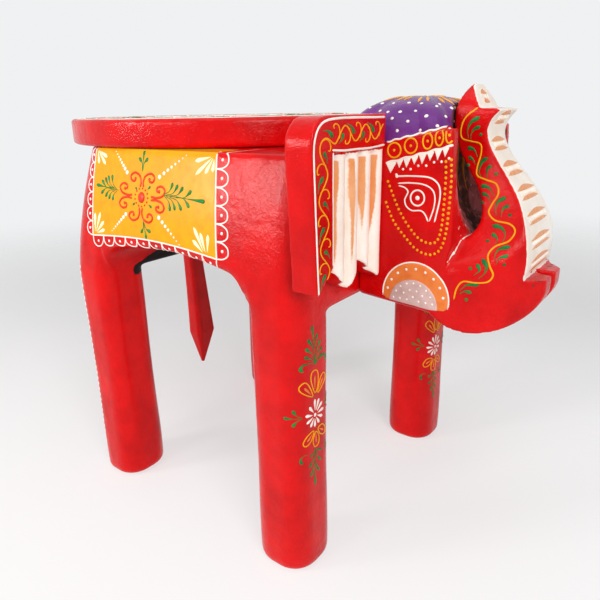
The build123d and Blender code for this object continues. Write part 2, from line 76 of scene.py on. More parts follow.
def add_node(tree: bpy.types.NodeTree, kind: str, settings: dict[str | int, Any] | None = None,
             links: dict[str | int, bpy.types.NodeSocket] | None = None) -> bpy.types.Node:
    """Add a node with its settings and links.

    Args:
        tree: the node tree that gets it.
        kind: Blender's name for the kind of node.
        settings: values by socket name, socket number or attribute name.
        links: source sockets by the name or number of the socket they feed.

    Returns:
        The new node.
    """
    node = tree.nodes.new(kind)
    for name, value in (settings or {}).items():
        if isinstance(name, int) or name in node.inputs:
            node.inputs[name].default_value = value
        else:
            setattr(node, name, value)
    for name, source in (links or {}).items():
        tree.links.new(source, node.inputs[name])
    return node


# ---- finishes -------------------------------------------------------------
@dataclass(frozen=True)
class Zone:
    """A painted area within a finish, inside where its attribute is above zero millimetres.

    Its edge wavers by ragged_mm, as a brush held by hand leaves it, and fades over soft_mm.
    """

    attribute: str
    colour: str
    deep: str
    ragged_mm: float = 0.4
    soft_mm: float = 0.15
    roughness: float | None = None


@dataclass(frozen=True)
class GlossEnamel:
    """Gloss enamel brushed thickly over sanded mango wood.

    The brush leaves a leathery stipple in the skin of the paint, so highlights break up, and the
    colour is a little deeper where the paint is thicker.
    """

    name: str
    colour: str
    deep: str
    zones: tuple[Zone, ...] = ()
    ior: float = 1.5
    specular: float = 0.17
    roughness: float = 0.14
    roughness_swing: float = 0.1
    tone_range: Point = (0.35, 0.7)
    gloss_range: Point = (0.3, 0.75)
    stipple_mm: float = 1.2
    stipple_height_mm: float = 0.26
    wave_mm: float = 7.0
    wave_rise: float = 2.5
    brush_mm: float = 26.0
    scuff_share: float = 0.0
    scuff_mm: float = 14.0
    scuff_range: Point = (0.6, 0.78)
    scuff_colour: str = "#E2504A"

    def material(self) -> bpy.types.Material:
        """Build the node material.

        Returns:
            The material, with every zone painted over the ground colour.
        """
        made = bpy.data.materials.new(self.name)
        made.use_nodes = True
        tree = made.node_tree
        shader = tree.nodes["Principled BSDF"]
        shader.inputs["IOR"].default_value = self.ior
        shader.inputs["Specular IOR Level"].default_value = self.specular
        place = add_node(tree, "ShaderNodeTexCoord").outputs["Object"]
        patches = add_node(tree, "ShaderNodeTexNoise",
                           {"Scale": 1 / (self.brush_mm * MM), "Detail": 4.0, "Roughness": 0.6},
                           {"Vector": place}).outputs["Fac"]
        tone = add_node(tree, "ShaderNodeMapRange",
                        {"From Min": self.tone_range[0], "From Max": self.tone_range[1]}, {"Value": patches})
        colour = self._blend(tree, tone.outputs["Result"], self.colour, self.deep)
        gloss = add_node(tree, "ShaderNodeMapRange",
                         {"From Min": self.gloss_range[0], "From Max": self.gloss_range[1],
                          "To Min": self.roughness, "To Max": self.roughness + self.roughness_swing},
                         {"Value": patches}).outputs["Result"]
        for zone in self.zones:
            share = self._zone_share(tree, place, zone)
            painted = self._blend(tree, tone.outputs["Result"], zone.colour, zone.deep)
            colour = add_node(tree, "ShaderNodeMix", {"data_type": "RGBA"},
                              {0: share, 6: colour, 7: painted}).outputs[2]
            if zone.roughness is not None:
                gloss = add_node(tree, "ShaderNodeMix", {"data_type": "FLOAT", 3: zone.roughness},
                                 {0: share, 2: gloss}).outputs[0]
        if self.scuff_share > 0:
            colour = self._scuffs(tree, place, colour)
        tree.links.new(colour, shader.inputs["Base Color"])
        tree.links.new(gloss, shader.inputs["Roughness"])
        tree.links.new(self._stipple(tree, place), shader.inputs["Normal"])
        return made

    @staticmethod
    def _blend(tree: bpy.types.NodeTree, share: bpy.types.NodeSocket, light: str,
               deep: str) -> bpy.types.NodeSocket:
        """Blend two paint colours by a share."""
        mix = add_node(tree, "ShaderNodeMix",
                       {"data_type": "RGBA", 6: linear(light), 7: linear(deep)}, {0: share})
        return mix.outputs[2]

    @staticmethod
    def _zone_share(tree: bpy.types.NodeTree, place: bpy.types.NodeSocket,
                    zone: Zone) -> bpy.types.NodeSocket:
        """Find how far a point lies in a painted area, with the unsteady edge of a brush.

        Args:
            tree: the node tree.
            place: position in the part's frame.
            zone: the painted area.

        Returns:
            Nought outside the area and one inside it.
        """
        inside = add_node(tree, "ShaderNodeAttribute", {"attribute_name": zone.attribute}).outputs["Fac"]
        waver_mm = 3.0 * max(zone.ragged_mm, 0.6)
        waver = add_node(tree, "ShaderNodeTexNoise", {"Scale": 1 / (waver_mm * MM), "Detail": 3.0},
                         {"Vector": place}).outputs["Fac"]
        pushed = add_node(tree, "ShaderNodeMath",
                          {"operation": "MULTIPLY_ADD", 1: 4 * zone.ragged_mm, 2: -2 * zone.ragged_mm},
                          {0: waver}).outputs[0]
        edge = add_node(tree, "ShaderNodeMath", {"operation": "ADD"}, {0: inside, 1: pushed}).outputs[0]
        return add_node(tree, "ShaderNodeMapRange", {"From Min": -zone.soft_mm, "From Max": zone.soft_mm},
                        {"Value": edge}).outputs["Result"]

    def _scuffs(self, tree: bpy.types.NodeTree, place: bpy.types.NodeSocket,
                colour: bpy.types.NodeSocket) -> bpy.types.NodeSocket:
        """Add the pale rubs where the seat has been handled.

        Args:
            tree: the node tree.
            place: position in the part's frame.
            colour: the paint below the rubs.

        Returns:
            The paint with the rubs over it.
        """
        rubs = add_node(tree, "ShaderNodeTexNoise",
                        {"Scale": 1 / (self.scuff_mm * MM), "Detail": 9.0, "Roughness": 0.72},
                        {"Vector": place}).outputs["Fac"]
        share = add_node(tree, "ShaderNodeMapRange",
                         {"From Min": self.scuff_range[0], "From Max": self.scuff_range[1],
                          "To Max": self.scuff_share}, {"Value": rubs}).outputs["Result"]
        return add_node(tree, "ShaderNodeMix", {"data_type": "RGBA", 7: linear(self.scuff_colour)},
                        {0: share, 6: colour}).outputs[2]

    def _stipple(self, tree: bpy.types.NodeTree, place: bpy.types.NodeSocket) -> bpy.types.NodeSocket:
        """Add the leathery skin of thick enamel, with the slower waves of the carving under it.

        Args:
            tree: the node tree.
            place: position in the part's frame.

        Returns:
            The normal of the skin.
        """
        fine = add_node(tree, "ShaderNodeTexNoise",
                        {"Scale": 1 / (self.stipple_mm * MM), "Detail": 2.5, "Roughness": 0.55},
                        {"Vector": place}).outputs["Fac"]
        slow = add_node(tree, "ShaderNodeTexNoise", {"Scale": 1 / (self.wave_mm * MM), "Detail": 1.0},
                        {"Vector": place}).outputs["Fac"]
        waves = add_node(tree, "ShaderNodeBump",
                         {"Strength": 0.6, "Distance": self.wave_rise * self.stipple_height_mm * MM},
                         {"Height": slow})
        return add_node(tree, "ShaderNodeBump", {"Strength": 0.9, "Distance": self.stipple_height_mm * MM},
                        {"Height": fine, "Normal": waves.outputs["Normal"]}).outputs["Normal"]


@dataclass(frozen=True)
class BareWood:
    """Turned mango wood left bare: straight brown grain and a dull, dry surface."""

    name: str = "bare_mango_wood"
    light: str = "#B98A5C"
    dark: str = "#7A5030"
    grain_mm: float = 2.5

    def material(self) -> bpy.types.Material:
        """Build the node material.

        Returns:
            The material, with its rings a grain width apart.
        """
        made = bpy.data.materials.new(self.name)
        made.use_nodes = True
        tree = made.node_tree
        shader = tree.nodes["Principled BSDF"]
        shader.inputs["Roughness"].default_value = 0.7
        place = add_node(tree, "ShaderNodeTexCoord").outputs["Object"]
        rings = add_node(tree, "ShaderNodeTexWave",
                         {"Scale": 1 / (self.grain_mm * MM) / 6, "Distortion": 6.0, "Detail": 3.0},
                         {"Vector": place}).outputs["Fac"]
        mix = add_node(tree, "ShaderNodeMix",
                       {"data_type": "RGBA", 6: linear(self.light), 7: linear(self.dark)}, {0: rings})
        tree.links.new(mix.outputs[2], shader.inputs["Base Color"])
        return made


class Paint(Enum):
    """Enamel colours used for the raised brush and cone work, each with its deeper tone."""

    WHITE = ("#FFFAF0", "#F4EADF")
    YELLOW = ("#F8B414", "#EE9C0C")
    PANEL = ("#F8A808", "#F09804")
    GREEN = ("#0E8A3C", "#066030")
    LEAF = ("#128A34", "#046C28")
    ORANGE = ("#F08A45", "#E47630")
    APRICOT = ("#EDA268", "#E48A4A")
    VERMILION = ("#E8421A", "#D03410")
    PINK = ("#DCC0BA", "#C8A8A2")
    CREAM = ("#FFF8DA", "#FFEDB0")

    def material(self) -> bpy.types.Material:
        """Build the material of this paint, once.

        Returns:
            The material, smoother than the ground coat because it is laid on thinly.
        """
        name = f"{self.name.lower()}_enamel_relief"
        found = bpy.data.materials.get(name)
        if found is None:
            finish = GlossEnamel(name, *self.value, roughness=0.24, stipple_mm=1.1,
                                 stipple_height_mm=0.05, brush_mm=7.0)
            found = finish.material()
        return found


RED = ("#DC080A", "#C00407")
IVORY = ("#FFF8EE", "#F6E6D6")
BLACK = ("#0C0A08", "#161210")
PURPLE = ("#763288", "#5A2470")


# ---- carved pieces --------------------------------------------------------
def surface_of(objects: Sequence[bpy.types.Object]) -> BVHTree:
    """One search tree over the faces of several objects.

    Args:
        objects: mesh objects in the row frame.

    Returns:
        The tree, in metres.
    """
    corners: list[Vector] = []
    faces: list[tuple[int, ...]] = []
    for piece in objects:
        start = len(corners)
        corners.extend(v.co.copy() for v in piece.data.vertices)
        faces.extend(tuple(start + i for i in p.vertices) for p in piece.data.polygons)
    return BVHTree.FromPolygons(corners, faces)


def remeshed(sources: Sequence[bpy.types.Mesh], name: str, voxel_mm: float,
             easing: int) -> bpy.types.Mesh:
    """Copy solids into one even skin with eased arrises.

    Args:
        sources: meshes of the solids, which stay as they are.
        name: name for the mesh.
        voxel_mm: size of its faces.
        easing: rounds of smoothing.

    Returns:
        The new mesh.
    """
    shape = bmesh.new()
    for source in sources:
        shape.from_mesh(source)
    bmesh.ops.remove_doubles(shape, verts=shape.verts, dist=0.01 * MM)
    rough = bpy.data.meshes.new(f"{name}_rough")
    shape.to_mesh(rough)
    shape.free()
    blank = bpy.data.objects.new(f"{name}_blank", rough)
    bpy.context.scene.collection.objects.link(blank)
    remesh = blank.modifiers.new("remesh", "REMESH")
    remesh.mode = "VOXEL"
    remesh.voxel_size = voxel_mm * MM
    ease = blank.modifiers.new("ease", "SMOOTH")
    ease.factor = 0.5
    ease.iterations = easing
    graph = bpy.context.evaluated_depsgraph_get()
    mesh = bpy.data.meshes.new_from_object(blank.evaluated_get(graph))
    bpy.data.objects.remove(blank)
    bpy.data.meshes.remove(rough)
    mesh.name = name
    return mesh


def keep_outer_shell(shape: bmesh.types.BMesh) -> None:
    """Delete every loose shell but the one with the most corners.

    Args:
        shape: the shells, changed in place.
    """
    unseen = set(shape.verts)
    best: set[bmesh.types.BMVert] = set()
    while unseen:
        shell = {unseen.pop()}
        edge_of_shell = list(shell)
        while edge_of_shell:
            corner = edge_of_shell.pop()
            for link in corner.link_edges:
                other = link.other_vert(corner)
                if other not in shell:
                    shell.add(other)
                    edge_of_shell.append(other)
        unseen -= shell
        if len(shell) > len(best):
            best = shell
    bmesh.ops.delete(shape, geom=[v for v in shape.verts if v not in best], context="VERTS")


def closed_cut(shape: bmesh.types.BMesh, name: str) -> bpy.types.Mesh:
    """Close the flat cut of a parted piece.

    Args:
        shape: the piece, which is freed.
        name: name for the mesh.

    Returns:
        The closed mesh, smooth but for the cut.
    """
    cut = [e for e in shape.edges if e.is_boundary]
    bmesh.ops.edgeloop_fill(shape, edges=cut)
    for edge in cut:
        edge.smooth = False
    bmesh.ops.recalc_face_normals(shape, faces=shape.faces)
    mesh = bpy.data.meshes.new(name)
    shape.to_mesh(mesh)
    shape.free()
    most_corners_of_a_skin_face = 12
    for face in mesh.polygons:
        face.use_smooth = len(face.vertices) < most_corners_of_a_skin_face
    return mesh


@dataclass
class CarvedPiece:
    """A piece of mango wood carved by hand, sanded and painted all over.

    It starts from its CAD solid, is remeshed evenly, its arrises are eased and the slow unevenness
    of hand work is pressed into it.
    """

    node: str
    voxel_mm: float = 1.5
    easing: int = 4
    unevenness_mm: float = 0.45
    wave_mm: tuple[float, float, float] = (24.0, 24.0, 24.0)
    seed: int = 0

    SEED_STEPS = (3.7, 1.9, 5.3)
    FINER = 2.3

    def finish(self) -> GlossEnamel:
        """The finish that covers the piece."""
        return GlossEnamel("red_enamel_on_mango_wood", *RED)

    def zones(self, spots: np.ndarray, normals: np.ndarray) -> dict[str, np.ndarray]:
        """Find how far each corner lies in each painted area.

        Args:
            spots: corners of the mesh in millimetres.
            normals: their outward directions.

        Returns:
            Millimetres into each area, by attribute name.
        """
        return {}

    def build(self) -> bpy.types.Object:
        """Carve the piece from its node.

        Returns:
            The new object, which stands for the node.
        """
        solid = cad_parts[self.node].data
        mesh = remeshed([solid], f"{self.node}_carved", self.voxel_mm, self.easing)
        shape = bmesh.new()
        shape.from_mesh(mesh)
        keep_outer_shell(shape)
        shape.to_mesh(mesh)
        shape.free()
        self.press_unevenness(mesh)
        mesh.shade_smooth()
        return self.place(mesh)

    def place(self, mesh: bpy.types.Mesh) -> bpy.types.Object:
        """Put a carved mesh in the scene for the node and give it its finish.

        Args:
            mesh: the carved mesh.

        Returns:
            The object that stands for the node.
        """
        self._mark_zones(mesh)
        finish = self.finish()
        made = bpy.data.materials.get(finish.name) or finish.material()
        mesh.materials.clear()
        mesh.materials.append(made)
        carved = bpy.data.objects.new(f"{self.node}_painted", mesh)
        bpy.context.scene.collection.objects.link(carved)
        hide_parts(self.node)
        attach(carved, "root")
        LOG.info("%s: %d faces", carved.name, len(mesh.polygons))
        return carved

    def press_unevenness(self, mesh: bpy.types.Mesh) -> None:
        """Sink the surface here and there, never outward, and keep it above the floor.

        Args:
            mesh: the carved mesh, changed in place.
        """
        shift = Vector([self.seed * step for step in self.SEED_STEPS])
        scale = Vector([1 / (w * MM) for w in self.wave_mm])
        normals = [v.normal.copy() for v in mesh.vertices]
        for vertex, normal in zip(mesh.vertices, normals):
            slow = noise.noise(vertex.co * scale + shift)
            quick = noise.noise(vertex.co * scale * self.FINER + shift)
            sunk = 0.5 + 0.5 * (slow * 0.7 + quick * 0.3)
            vertex.co -= normal * (self.unevenness_mm * MM * sunk)
            vertex.co.z = max(vertex.co.z, 0.0)
        mesh.update()

    def _mark_zones(self, mesh: bpy.types.Mesh) -> None:
        """Store the painted areas' distances on the mesh.

        Args:
            mesh: the carved mesh, which gets one attribute for each area.
        """
        count = len(mesh.vertices)
        flat = np.empty(count * 3, np.float32)
        mesh.vertices.foreach_get("co", flat)
        turned = np.empty(count * 3, np.float32)
        mesh.vertices.foreach_get("normal", turned)
        for name, values in self.zones(flat.reshape(-1, 3) / MM, turned.reshape(-1, 3)).items():
            mark = mesh.attributes.new(name, "FLOAT", "POINT")
            mark.data.foreach_set("value", values.astype(np.float32))


# ---- brushwork ------------------------------------------------------------
@dataclass
class Stencil:
    """Lays a flat drawing in millimetres on a carved surface, along one direction."""

    surface: BVHTree
    origin: Vector
    across: Vector
    up: Vector
    toward: Vector

    def aim(self, u: float, v: float) -> tuple[Vector, Vector]:
        """Where the ray for a point of the drawing starts, and its direction."""
        return self.origin + self.across * (u * MM) + self.up * (v * MM), self.toward

    def spot(self, u: float, v: float) -> tuple[Vector, Vector] | None:
        """Find the surface under a point of the drawing.

        Args:
            u: place along the drawing's first axis.
            v: place along its second axis.

        Returns:
            The surface point and its outward normal, or None where the ray meets nothing.
        """
        start, direction = self.aim(u, v)
        place, normal, _, _ = self.surface.ray_cast(start, direction)
        if place is None:
            return None
        return place, normal if normal.dot(direction) < 0 else -normal


@dataclass
class WrapStencil(Stencil):
    """Wraps a drawing round an upright axis: u runs along the arc, v is the height."""

    zero_angle: float = 0.0
    radius: float = 20.0

    def aim(self, u: float, v: float) -> tuple[Vector, Vector]:
        """Find where the ray starts outside the leg, and its direction towards the axis.

        Args:
            u: millimetres along the arc.
            v: height in millimetres.

        Returns:
            Start and direction of the ray.
        """
        angle = self.zero_angle + u / self.radius
        outward = Vector((math.cos(angle), math.sin(angle), 0))
        return self.origin + outward * OUTSIDE + Vector((0, 0, v * MM)), -outward


@dataclass
class DomeStencil(Stencil):
    """Lays a drawing on a dome: u is the bearing and v the height angle, both in degrees."""

    def aim(self, u: float, v: float) -> tuple[Vector, Vector]:
        """Find where the ray starts outside the dome, and its direction towards the middle.

        Args:
            u: bearing in degrees.
            v: height angle in degrees.

        Returns:
            Start and direction of the ray.
        """
        bearing, rise = math.radians(u), math.radians(v)
        outward = Vector((math.cos(bearing) * math.cos(rise), math.sin(bearing) * math.cos(rise),
                          math.sin(rise)))
        return self.origin + outward * OUTSIDE, -outward


def side_stencil(surface: BVHTree, side: int) -> Stencil:
    """Drawing plane seen from one side: u is X and v is Z.

    Args:
        surface: what the drawing lies on.
        side: -1 for the right side, 1 for the left.

    Returns:
        The stencil.
    """
    return Stencil(surface, Vector((0, side * 0.3, 0)), Vector((1, 0, 0)), Vector((0, 0, 1)),
                   Vector((0, -side, 0)))


def front_stencil(surface: BVHTree, facing: int = 1) -> Stencil:
    """Drawing plane seen from the front (1) or the back (-1): u is Y and v is Z."""
    return Stencil(surface, Vector((facing * 0.45, 0, 0)), Vector((0, 1, 0)), Vector((0, 0, 1)),
                   Vector((-facing, 0, 0)))


def top_stencil(surface: BVHTree) -> Stencil:
    """Drawing plane seen from above: u is X and v is Y."""
    return Stencil(surface, Vector((0, 0, 0.5)), Vector((1, 0, 0)), Vector((0, 1, 0)), Vector((0, 0, -1)))


class Stroke(Enum):
    """How the width of a brush stroke changes along it."""

    EVEN = "rounded at both ends"
    DROP = "fat at the start and drawn out to a point"
    CLUB = "a fat head on a thin stalk"
    COMMA = "a fat head drawn out to a hair"
    LEAF = "pointed at both ends"

    def share(self, along: float, length: float, width: float) -> float:
        """Find the share of the full width at a place along the stroke.

        Args:
            along: the place, from 0 at the start to 1 at the end.
            length: length of the stroke.
            width: its full width.

        Returns:
            The share, which never falls to nought.
        """
        if self is Stroke.DROP:
            fullest, hair = 0.22, 0.14
            rise = min(1.0, math.sqrt(along / fullest)) if along < fullest else 1.0
            return max(hair, rise * (1 - max(0.0, along - fullest) / (1 - fullest)) ** 0.75)
        if self is Stroke.CLUB:
            head, neck, stalk = min(0.4, 0.55 * width / length), 0.36, 0.2
            if along < head:
                return max(0.45, math.sqrt(1 - (1 - along / head) ** 2))
            return stalk + (1 - stalk) * max(0.0, 1 - (along - head) / neck) ** 1.3
        if self is Stroke.COMMA:
            fullest, hair = 0.14, 0.16
            rise = min(1.0, math.sqrt(along / fullest))
            return max(hair, rise * (1 - max(0.0, along - fullest) / (1 - fullest)) ** 1.35)
        if self is Stroke.LEAF:
            return max(0.14, math.sin(math.pi * along) ** 0.8)
        near = min(along, 1 - along) * length / (width / 2)
        return max(0.2, math.sqrt(max(0.0, 1 - (1 - min(1.0, near)) ** 2)))


def flowing(points: Sequence[Point], step: float = 0.9, closed: bool = False) -> np.ndarray:
    """A smooth line through the points, cut into even steps.

    Args:
        points: the places that the brush passes, in millimetres.
        step: distance between the points returned.
        closed: whether the line runs back to its start.

    Returns:
        Points along the line, one a row.
    """
    knots = np.asarray(points, float)
    if closed:
        knots = np.vstack([knots[-1], knots, knots[0], knots[1]])
    else:
        knots = np.vstack([2 * knots[0] - knots[1], knots, 2 * knots[-1] - knots[-2]])
    pieces = []
    for a, b, c, d in zip(knots, knots[1:], knots[2:], knots[3:]):
        t = np.linspace(0, 1, 14, endpoint=False)[:, None]
        pieces.append(0.5 * (2 * b + (c - a) * t + (2 * a - 5 * b + 4 * c - d) * t ** 2
                             + (3 * b - a - 3 * c + d) * t ** 3))
    dense = np.vstack([*pieces, knots[-2][None]])
    run = np.concatenate([[0], np.cumsum(np.linalg.norm(np.diff(dense, axis=0), axis=1))])
    count = max(3, int(run[-1] / step) + 1)
    marks = np.linspace(0, run[-1], count)
    return np.stack([np.interp(marks, run, dense[:, axis]) for axis in (0, 1)], axis=1)


@dataclass
class Brush:
    """Raised enamel brushwork on one surface, gathered by colour into one mesh."""

    stencil: Stencil
    lift: float = 0.0
    corners: list[Vector] = field(default_factory=list)
    faces: list[tuple[int, ...]] = field(default_factory=list)
    paints: list[Paint] = field(default_factory=list)

    SINK = 0.2
    ROUNDING = 0.62

    def _add(self, corners: list[Vector], faces: Iterable[tuple[int, ...]], paint: Paint) -> None:
        """Keep the faces of one closed mark.

        Args:
            corners: its corners.
            faces: its faces, by the corners' places in the list.
            paint: its colour.
        """
        start = len(self.corners)
        self.corners.extend(corners)
        for face in faces:
            self.faces.append(tuple(start + i for i in face))
            self.paints.append(paint)

    def _raised(self, u: float, v: float, height: float) -> Vector | None:
        """Find a point above the surface.

        Args:
            u: place along the drawing's first axis.
            v: place along its second axis.
            height: millimetres above the layer that lies there.

        Returns:
            The point, or None beside the surface.
        """
        found = self.stencil.spot(u, v)
        if found is None:
            return None
        return found[0] + found[1] * ((self.lift + height) * MM)

    def line(self, paint: Paint, path: np.ndarray, width: float, height: float = 0.4,
             stroke: Stroke = Stroke.EVEN, closed: bool = False) -> None:
        """Draw a raised line.

        Args:
            paint: its colour.
            path: points along it, as flowing() gives them.
            width: full width in millimetres.
            height: height of its crest.
            stroke: how its width changes.
            closed: whether it is a ring.
        """
        ahead = np.gradient(path, axis=0)
        if closed:
            ahead[0] = ahead[-1] = path[1] - path[-2]
        ahead /= np.linalg.norm(ahead, axis=1)[:, None] + 1e-9
        length = float(np.linalg.norm(np.diff(path, axis=0), axis=1).sum())
        section = ((-1, -self.SINK), (-self.ROUNDING, self.ROUNDING * height), (0, height),
                   (self.ROUNDING, self.ROUNDING * height), (1, -self.SINK))
        size = len(section)
        rows: list[list[Vector]] = []

        def close_run() -> None:
            """Turn the rows gathered so far into a closed mark."""
            if len(rows) > 1:
                faces = []
                for i in range(len(rows) - 1):
                    for k in range(size):
                        nxt = (k + 1) % size
                        faces.append((i * size + k, (i + 1) * size + k,
                                      (i + 1) * size + nxt, i * size + nxt))
                faces.append(tuple(range(size)))
                faces.append(tuple((len(rows) - 1) * size + k for k in reversed(range(size))))
                self._add([p for row in rows for p in row], faces, paint)
            rows.clear()

        for i, (place, way) in enumerate(zip(path, ahead)):
            along = i / (len(path) - 1)
            half = width / 2 * (1.0 if closed else stroke.share(along, length, width))
            slim = half / (width / 2)
            row = [self._raised(place[0] - way[1] * off * half, place[1] + way[0] * off * half,
                                h if h < 0 else h * (0.45 + 0.55 * slim)) for off, h in section]
            if any(p is None for p in row):
                close_run()
            else:
                rows.append(row)
        close_run()

    def dot(self, paint: Paint, u: float, v: float, radius: float, height: float = 0.5) -> None:
        """Draw a round raised dot.

        Args:
            paint: its colour.
            u: place along the drawing's first axis.
            v: place along its second axis.
            radius: its radius in millimetres.
            height: height of its middle.
        """
        found = self.stencil.spot(u, v)
        if found is None:
            return
        place, normal = found
        side = normal.orthogonal().normalized()
        other = normal.cross(side)
        around = 10
        corners: list[Vector] = []
        for share, rise in ((1.0, -self.SINK), (0.78, 0.5 * height), (0.4, 0.9 * height)):
            for k in range(around):
                turn = math.tau * k / around
                flat = (side * math.cos(turn) + other * math.sin(turn)) * (radius * share * MM)
                corners.append(place + flat + normal * ((self.lift + rise) * MM))
        corners.append(place + normal * ((self.lift + height) * MM))
        self._add(corners, self._mound(around, rings=3), paint)

    @staticmethod
    def _mound(around: int, rings: int) -> list[tuple[int, ...]]:
        """List the faces of a closed mound: its base, the bands between its rings and its top.

        Args:
            around: corners in each ring.
            rings: number of rings below the one corner at the top.

        Returns:
            The faces, by the corners' places.
        """
        faces: list[tuple[int, ...]] = [tuple(reversed(range(around)))]
        top = (rings - 1) * around
        for low in range(0, top, around):
            for k in range(around):
                nxt = (k + 1) % around
                faces.append((low + k, low + nxt, low + around + nxt, low + around + k))
        faces.extend((top + k, top + (k + 1) % around, top + around) for k in range(around))
        return faces

    def fill(self, paint: Paint, outline: np.ndarray, height: float = 0.3) -> None:
        """Fill a rounded outline with a thin layer of paint.

        Args:
            paint: its colour.
            outline: points round it, without the first one repeated.
            height: thickness of the layer.
        """
        middle = outline.mean(axis=0)
        corners: list[Vector] = []
        rings = ((1.0, -self.SINK), (0.965, 0.75 * height), (0.9, height), (0.65, height), (0.35, height))
        for share, rise in rings:
            for place in outline:
                spot = self._raised(*(middle + (place - middle) * share), rise)
                if spot is None:
                    return
                corners.append(spot)
        top = self._raised(*middle, height)
        if top is None:
            return
        corners.append(top)
        self._add(corners, self._mound(len(outline), len(rings)), paint)

    def sheet(self, paint: Paint, place: Callable[[float, float], Point], columns: int, rows: int,
              height: float = 0.25) -> None:
        """Lay an even layer of paint over a four-sided area.

        Args:
            paint: its colour.
            place: drawing point for two shares from 0 to 1.
            columns: cells along the first share.
            rows: cells along the second share.
            height: thickness of the layer.
        """
        corners: list[Vector] = []
        for layer in (height, -self.SINK):
            for j in range(rows + 1):
                for i in range(columns + 1):
                    spot = self._raised(*place(i / columns, j / rows), layer)
                    if spot is None:
                        return
                    corners.append(spot)
        wide = columns + 1
        below = wide * (rows + 1)
        faces: list[tuple[int, ...]] = []
        for j in range(rows):
            for i in range(columns):
                a = j * wide + i
                faces.append((a, a + 1, a + 1 + wide, a + wide))
                faces.append((below + a, below + a + wide, below + a + 1 + wide, below + a + 1))
        rim = [*range(columns), *(columns + j * wide for j in range(rows)),
               *(rows * wide + i for i in range(columns, 0, -1)), *(j * wide for j in range(rows, 0, -1))]
        faces.extend((b, a, below + a, below + b) for a, b in zip(rim, rim[1:] + rim[:1]))
        self._add(corners, faces, paint)

    def ring(self, paint: Paint, u: float, v: float, radius: Point, width: float,
             height: float = 0.4) -> None:
        """Draw a raised ring or oval.

        Args:
            paint: its colour.
            u: place of its middle along the drawing's first axis.
            v: place of its middle along the second axis.
            radius: its radius along each axis.
            width: full width of the line.
            height: height of the line's crest.
        """
        turns = np.linspace(0, math.tau, 25)
        path = np.stack([u + radius[0] * np.cos(turns), v + radius[1] * np.sin(turns)], axis=1)
        self.line(paint, path, width, height, closed=True)

    def drop(self, paint: Paint, start: Point, end: Point, width: float, bend: float = 0.0,
             height: float = 0.45, stroke: Stroke = Stroke.DROP) -> None:
        """Draw one drop of paint pulled out with the brush.

        Args:
            paint: its colour.
            start: where the fat end lies.
            end: where it is drawn out to.
            width: full width.
            bend: how far its middle bows to the left, as a share of its length.
            height: height of its crest.
            stroke: how its width changes.
        """
        a, b = np.asarray(start, float), np.asarray(end, float)
        way = b - a
        middle = (a + b) / 2 + np.array([-way[1], way[0]]) * bend
        self.line(paint, flowing([tuple(a), tuple(middle), tuple(b)], step=0.8), width, height, stroke)

    def dots_along(self, paint: Paint, points: Sequence[Point], pitch: float, radius: float) -> None:
        """Set dots at an even pitch along a smooth line."""
        for u, v in flowing(points, step=pitch):
            self.dot(paint, float(u), float(v), radius)

    def palmette(self, paint: Paint, root: Point, tip: Point, pairs: int, breadth: float,
                 width: float) -> None:
        """Draw a stem with pairs of curved leaves that get shorter towards its tip.

        Args:
            paint: its colour.
            root: foot of the stem.
            tip: head of the stem.
            pairs: number of pairs of leaves.
            breadth: how far the lowest pair reaches to each side.
            width: full width of a leaf.
        """
        a, b = np.asarray(root, float), np.asarray(tip, float)
        way = b - a
        length = float(np.linalg.norm(way))
        way /= length
        side = np.array([-way[1], way[0]])
        self.line(paint, flowing([tuple(a), tuple((a + b) / 2), tuple(b)]), width * 0.6, 0.35)
        self.drop(paint, tuple(b + way * 0.06 * length), tuple(b - way * 0.22 * length), width * 1.2)
        for k in range(pairs):
            at = a + way * length * (0.08 + 0.72 * k / max(1, pairs))
            out = breadth * (1 - 0.55 * k / max(1, pairs))
            for turn in (-1, 1):
                end = at + way * (0.26 * length) + side * turn * out
                self.drop(paint, tuple(end), tuple(at), width, bend=0.16 * turn)

    def build(self, name: str) -> bpy.types.Object | None:
        """Put the marks in the scene as one piece.

        Args:
            name: the piece's name.

        Returns:
            The object, or None where nothing was drawn.
        """
        if not self.faces:
            return None
        mesh = bpy.data.meshes.new(name)
        mesh.from_pydata([tuple(c) for c in self.corners], [], self.faces)
        used = list(dict.fromkeys(self.paints))
        for paint in used:
            mesh.materials.append(paint.material())
        mesh.polygons.foreach_set("material_index", [used.index(p) for p in self.paints])
        mesh.shade_smooth()
        shape = bmesh.new()
        shape.from_mesh(mesh)
        bmesh.ops.recalc_face_normals(shape, faces=shape.faces)
        shape.to_mesh(mesh)
        shape.free()
        piece = bpy.data.objects.new(name, mesh)
        bpy.context.scene.collection.objects.link(piece)
        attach(piece, "root")
        LOG.info("%s: %d faces", name, len(mesh.polygons))
        return piece


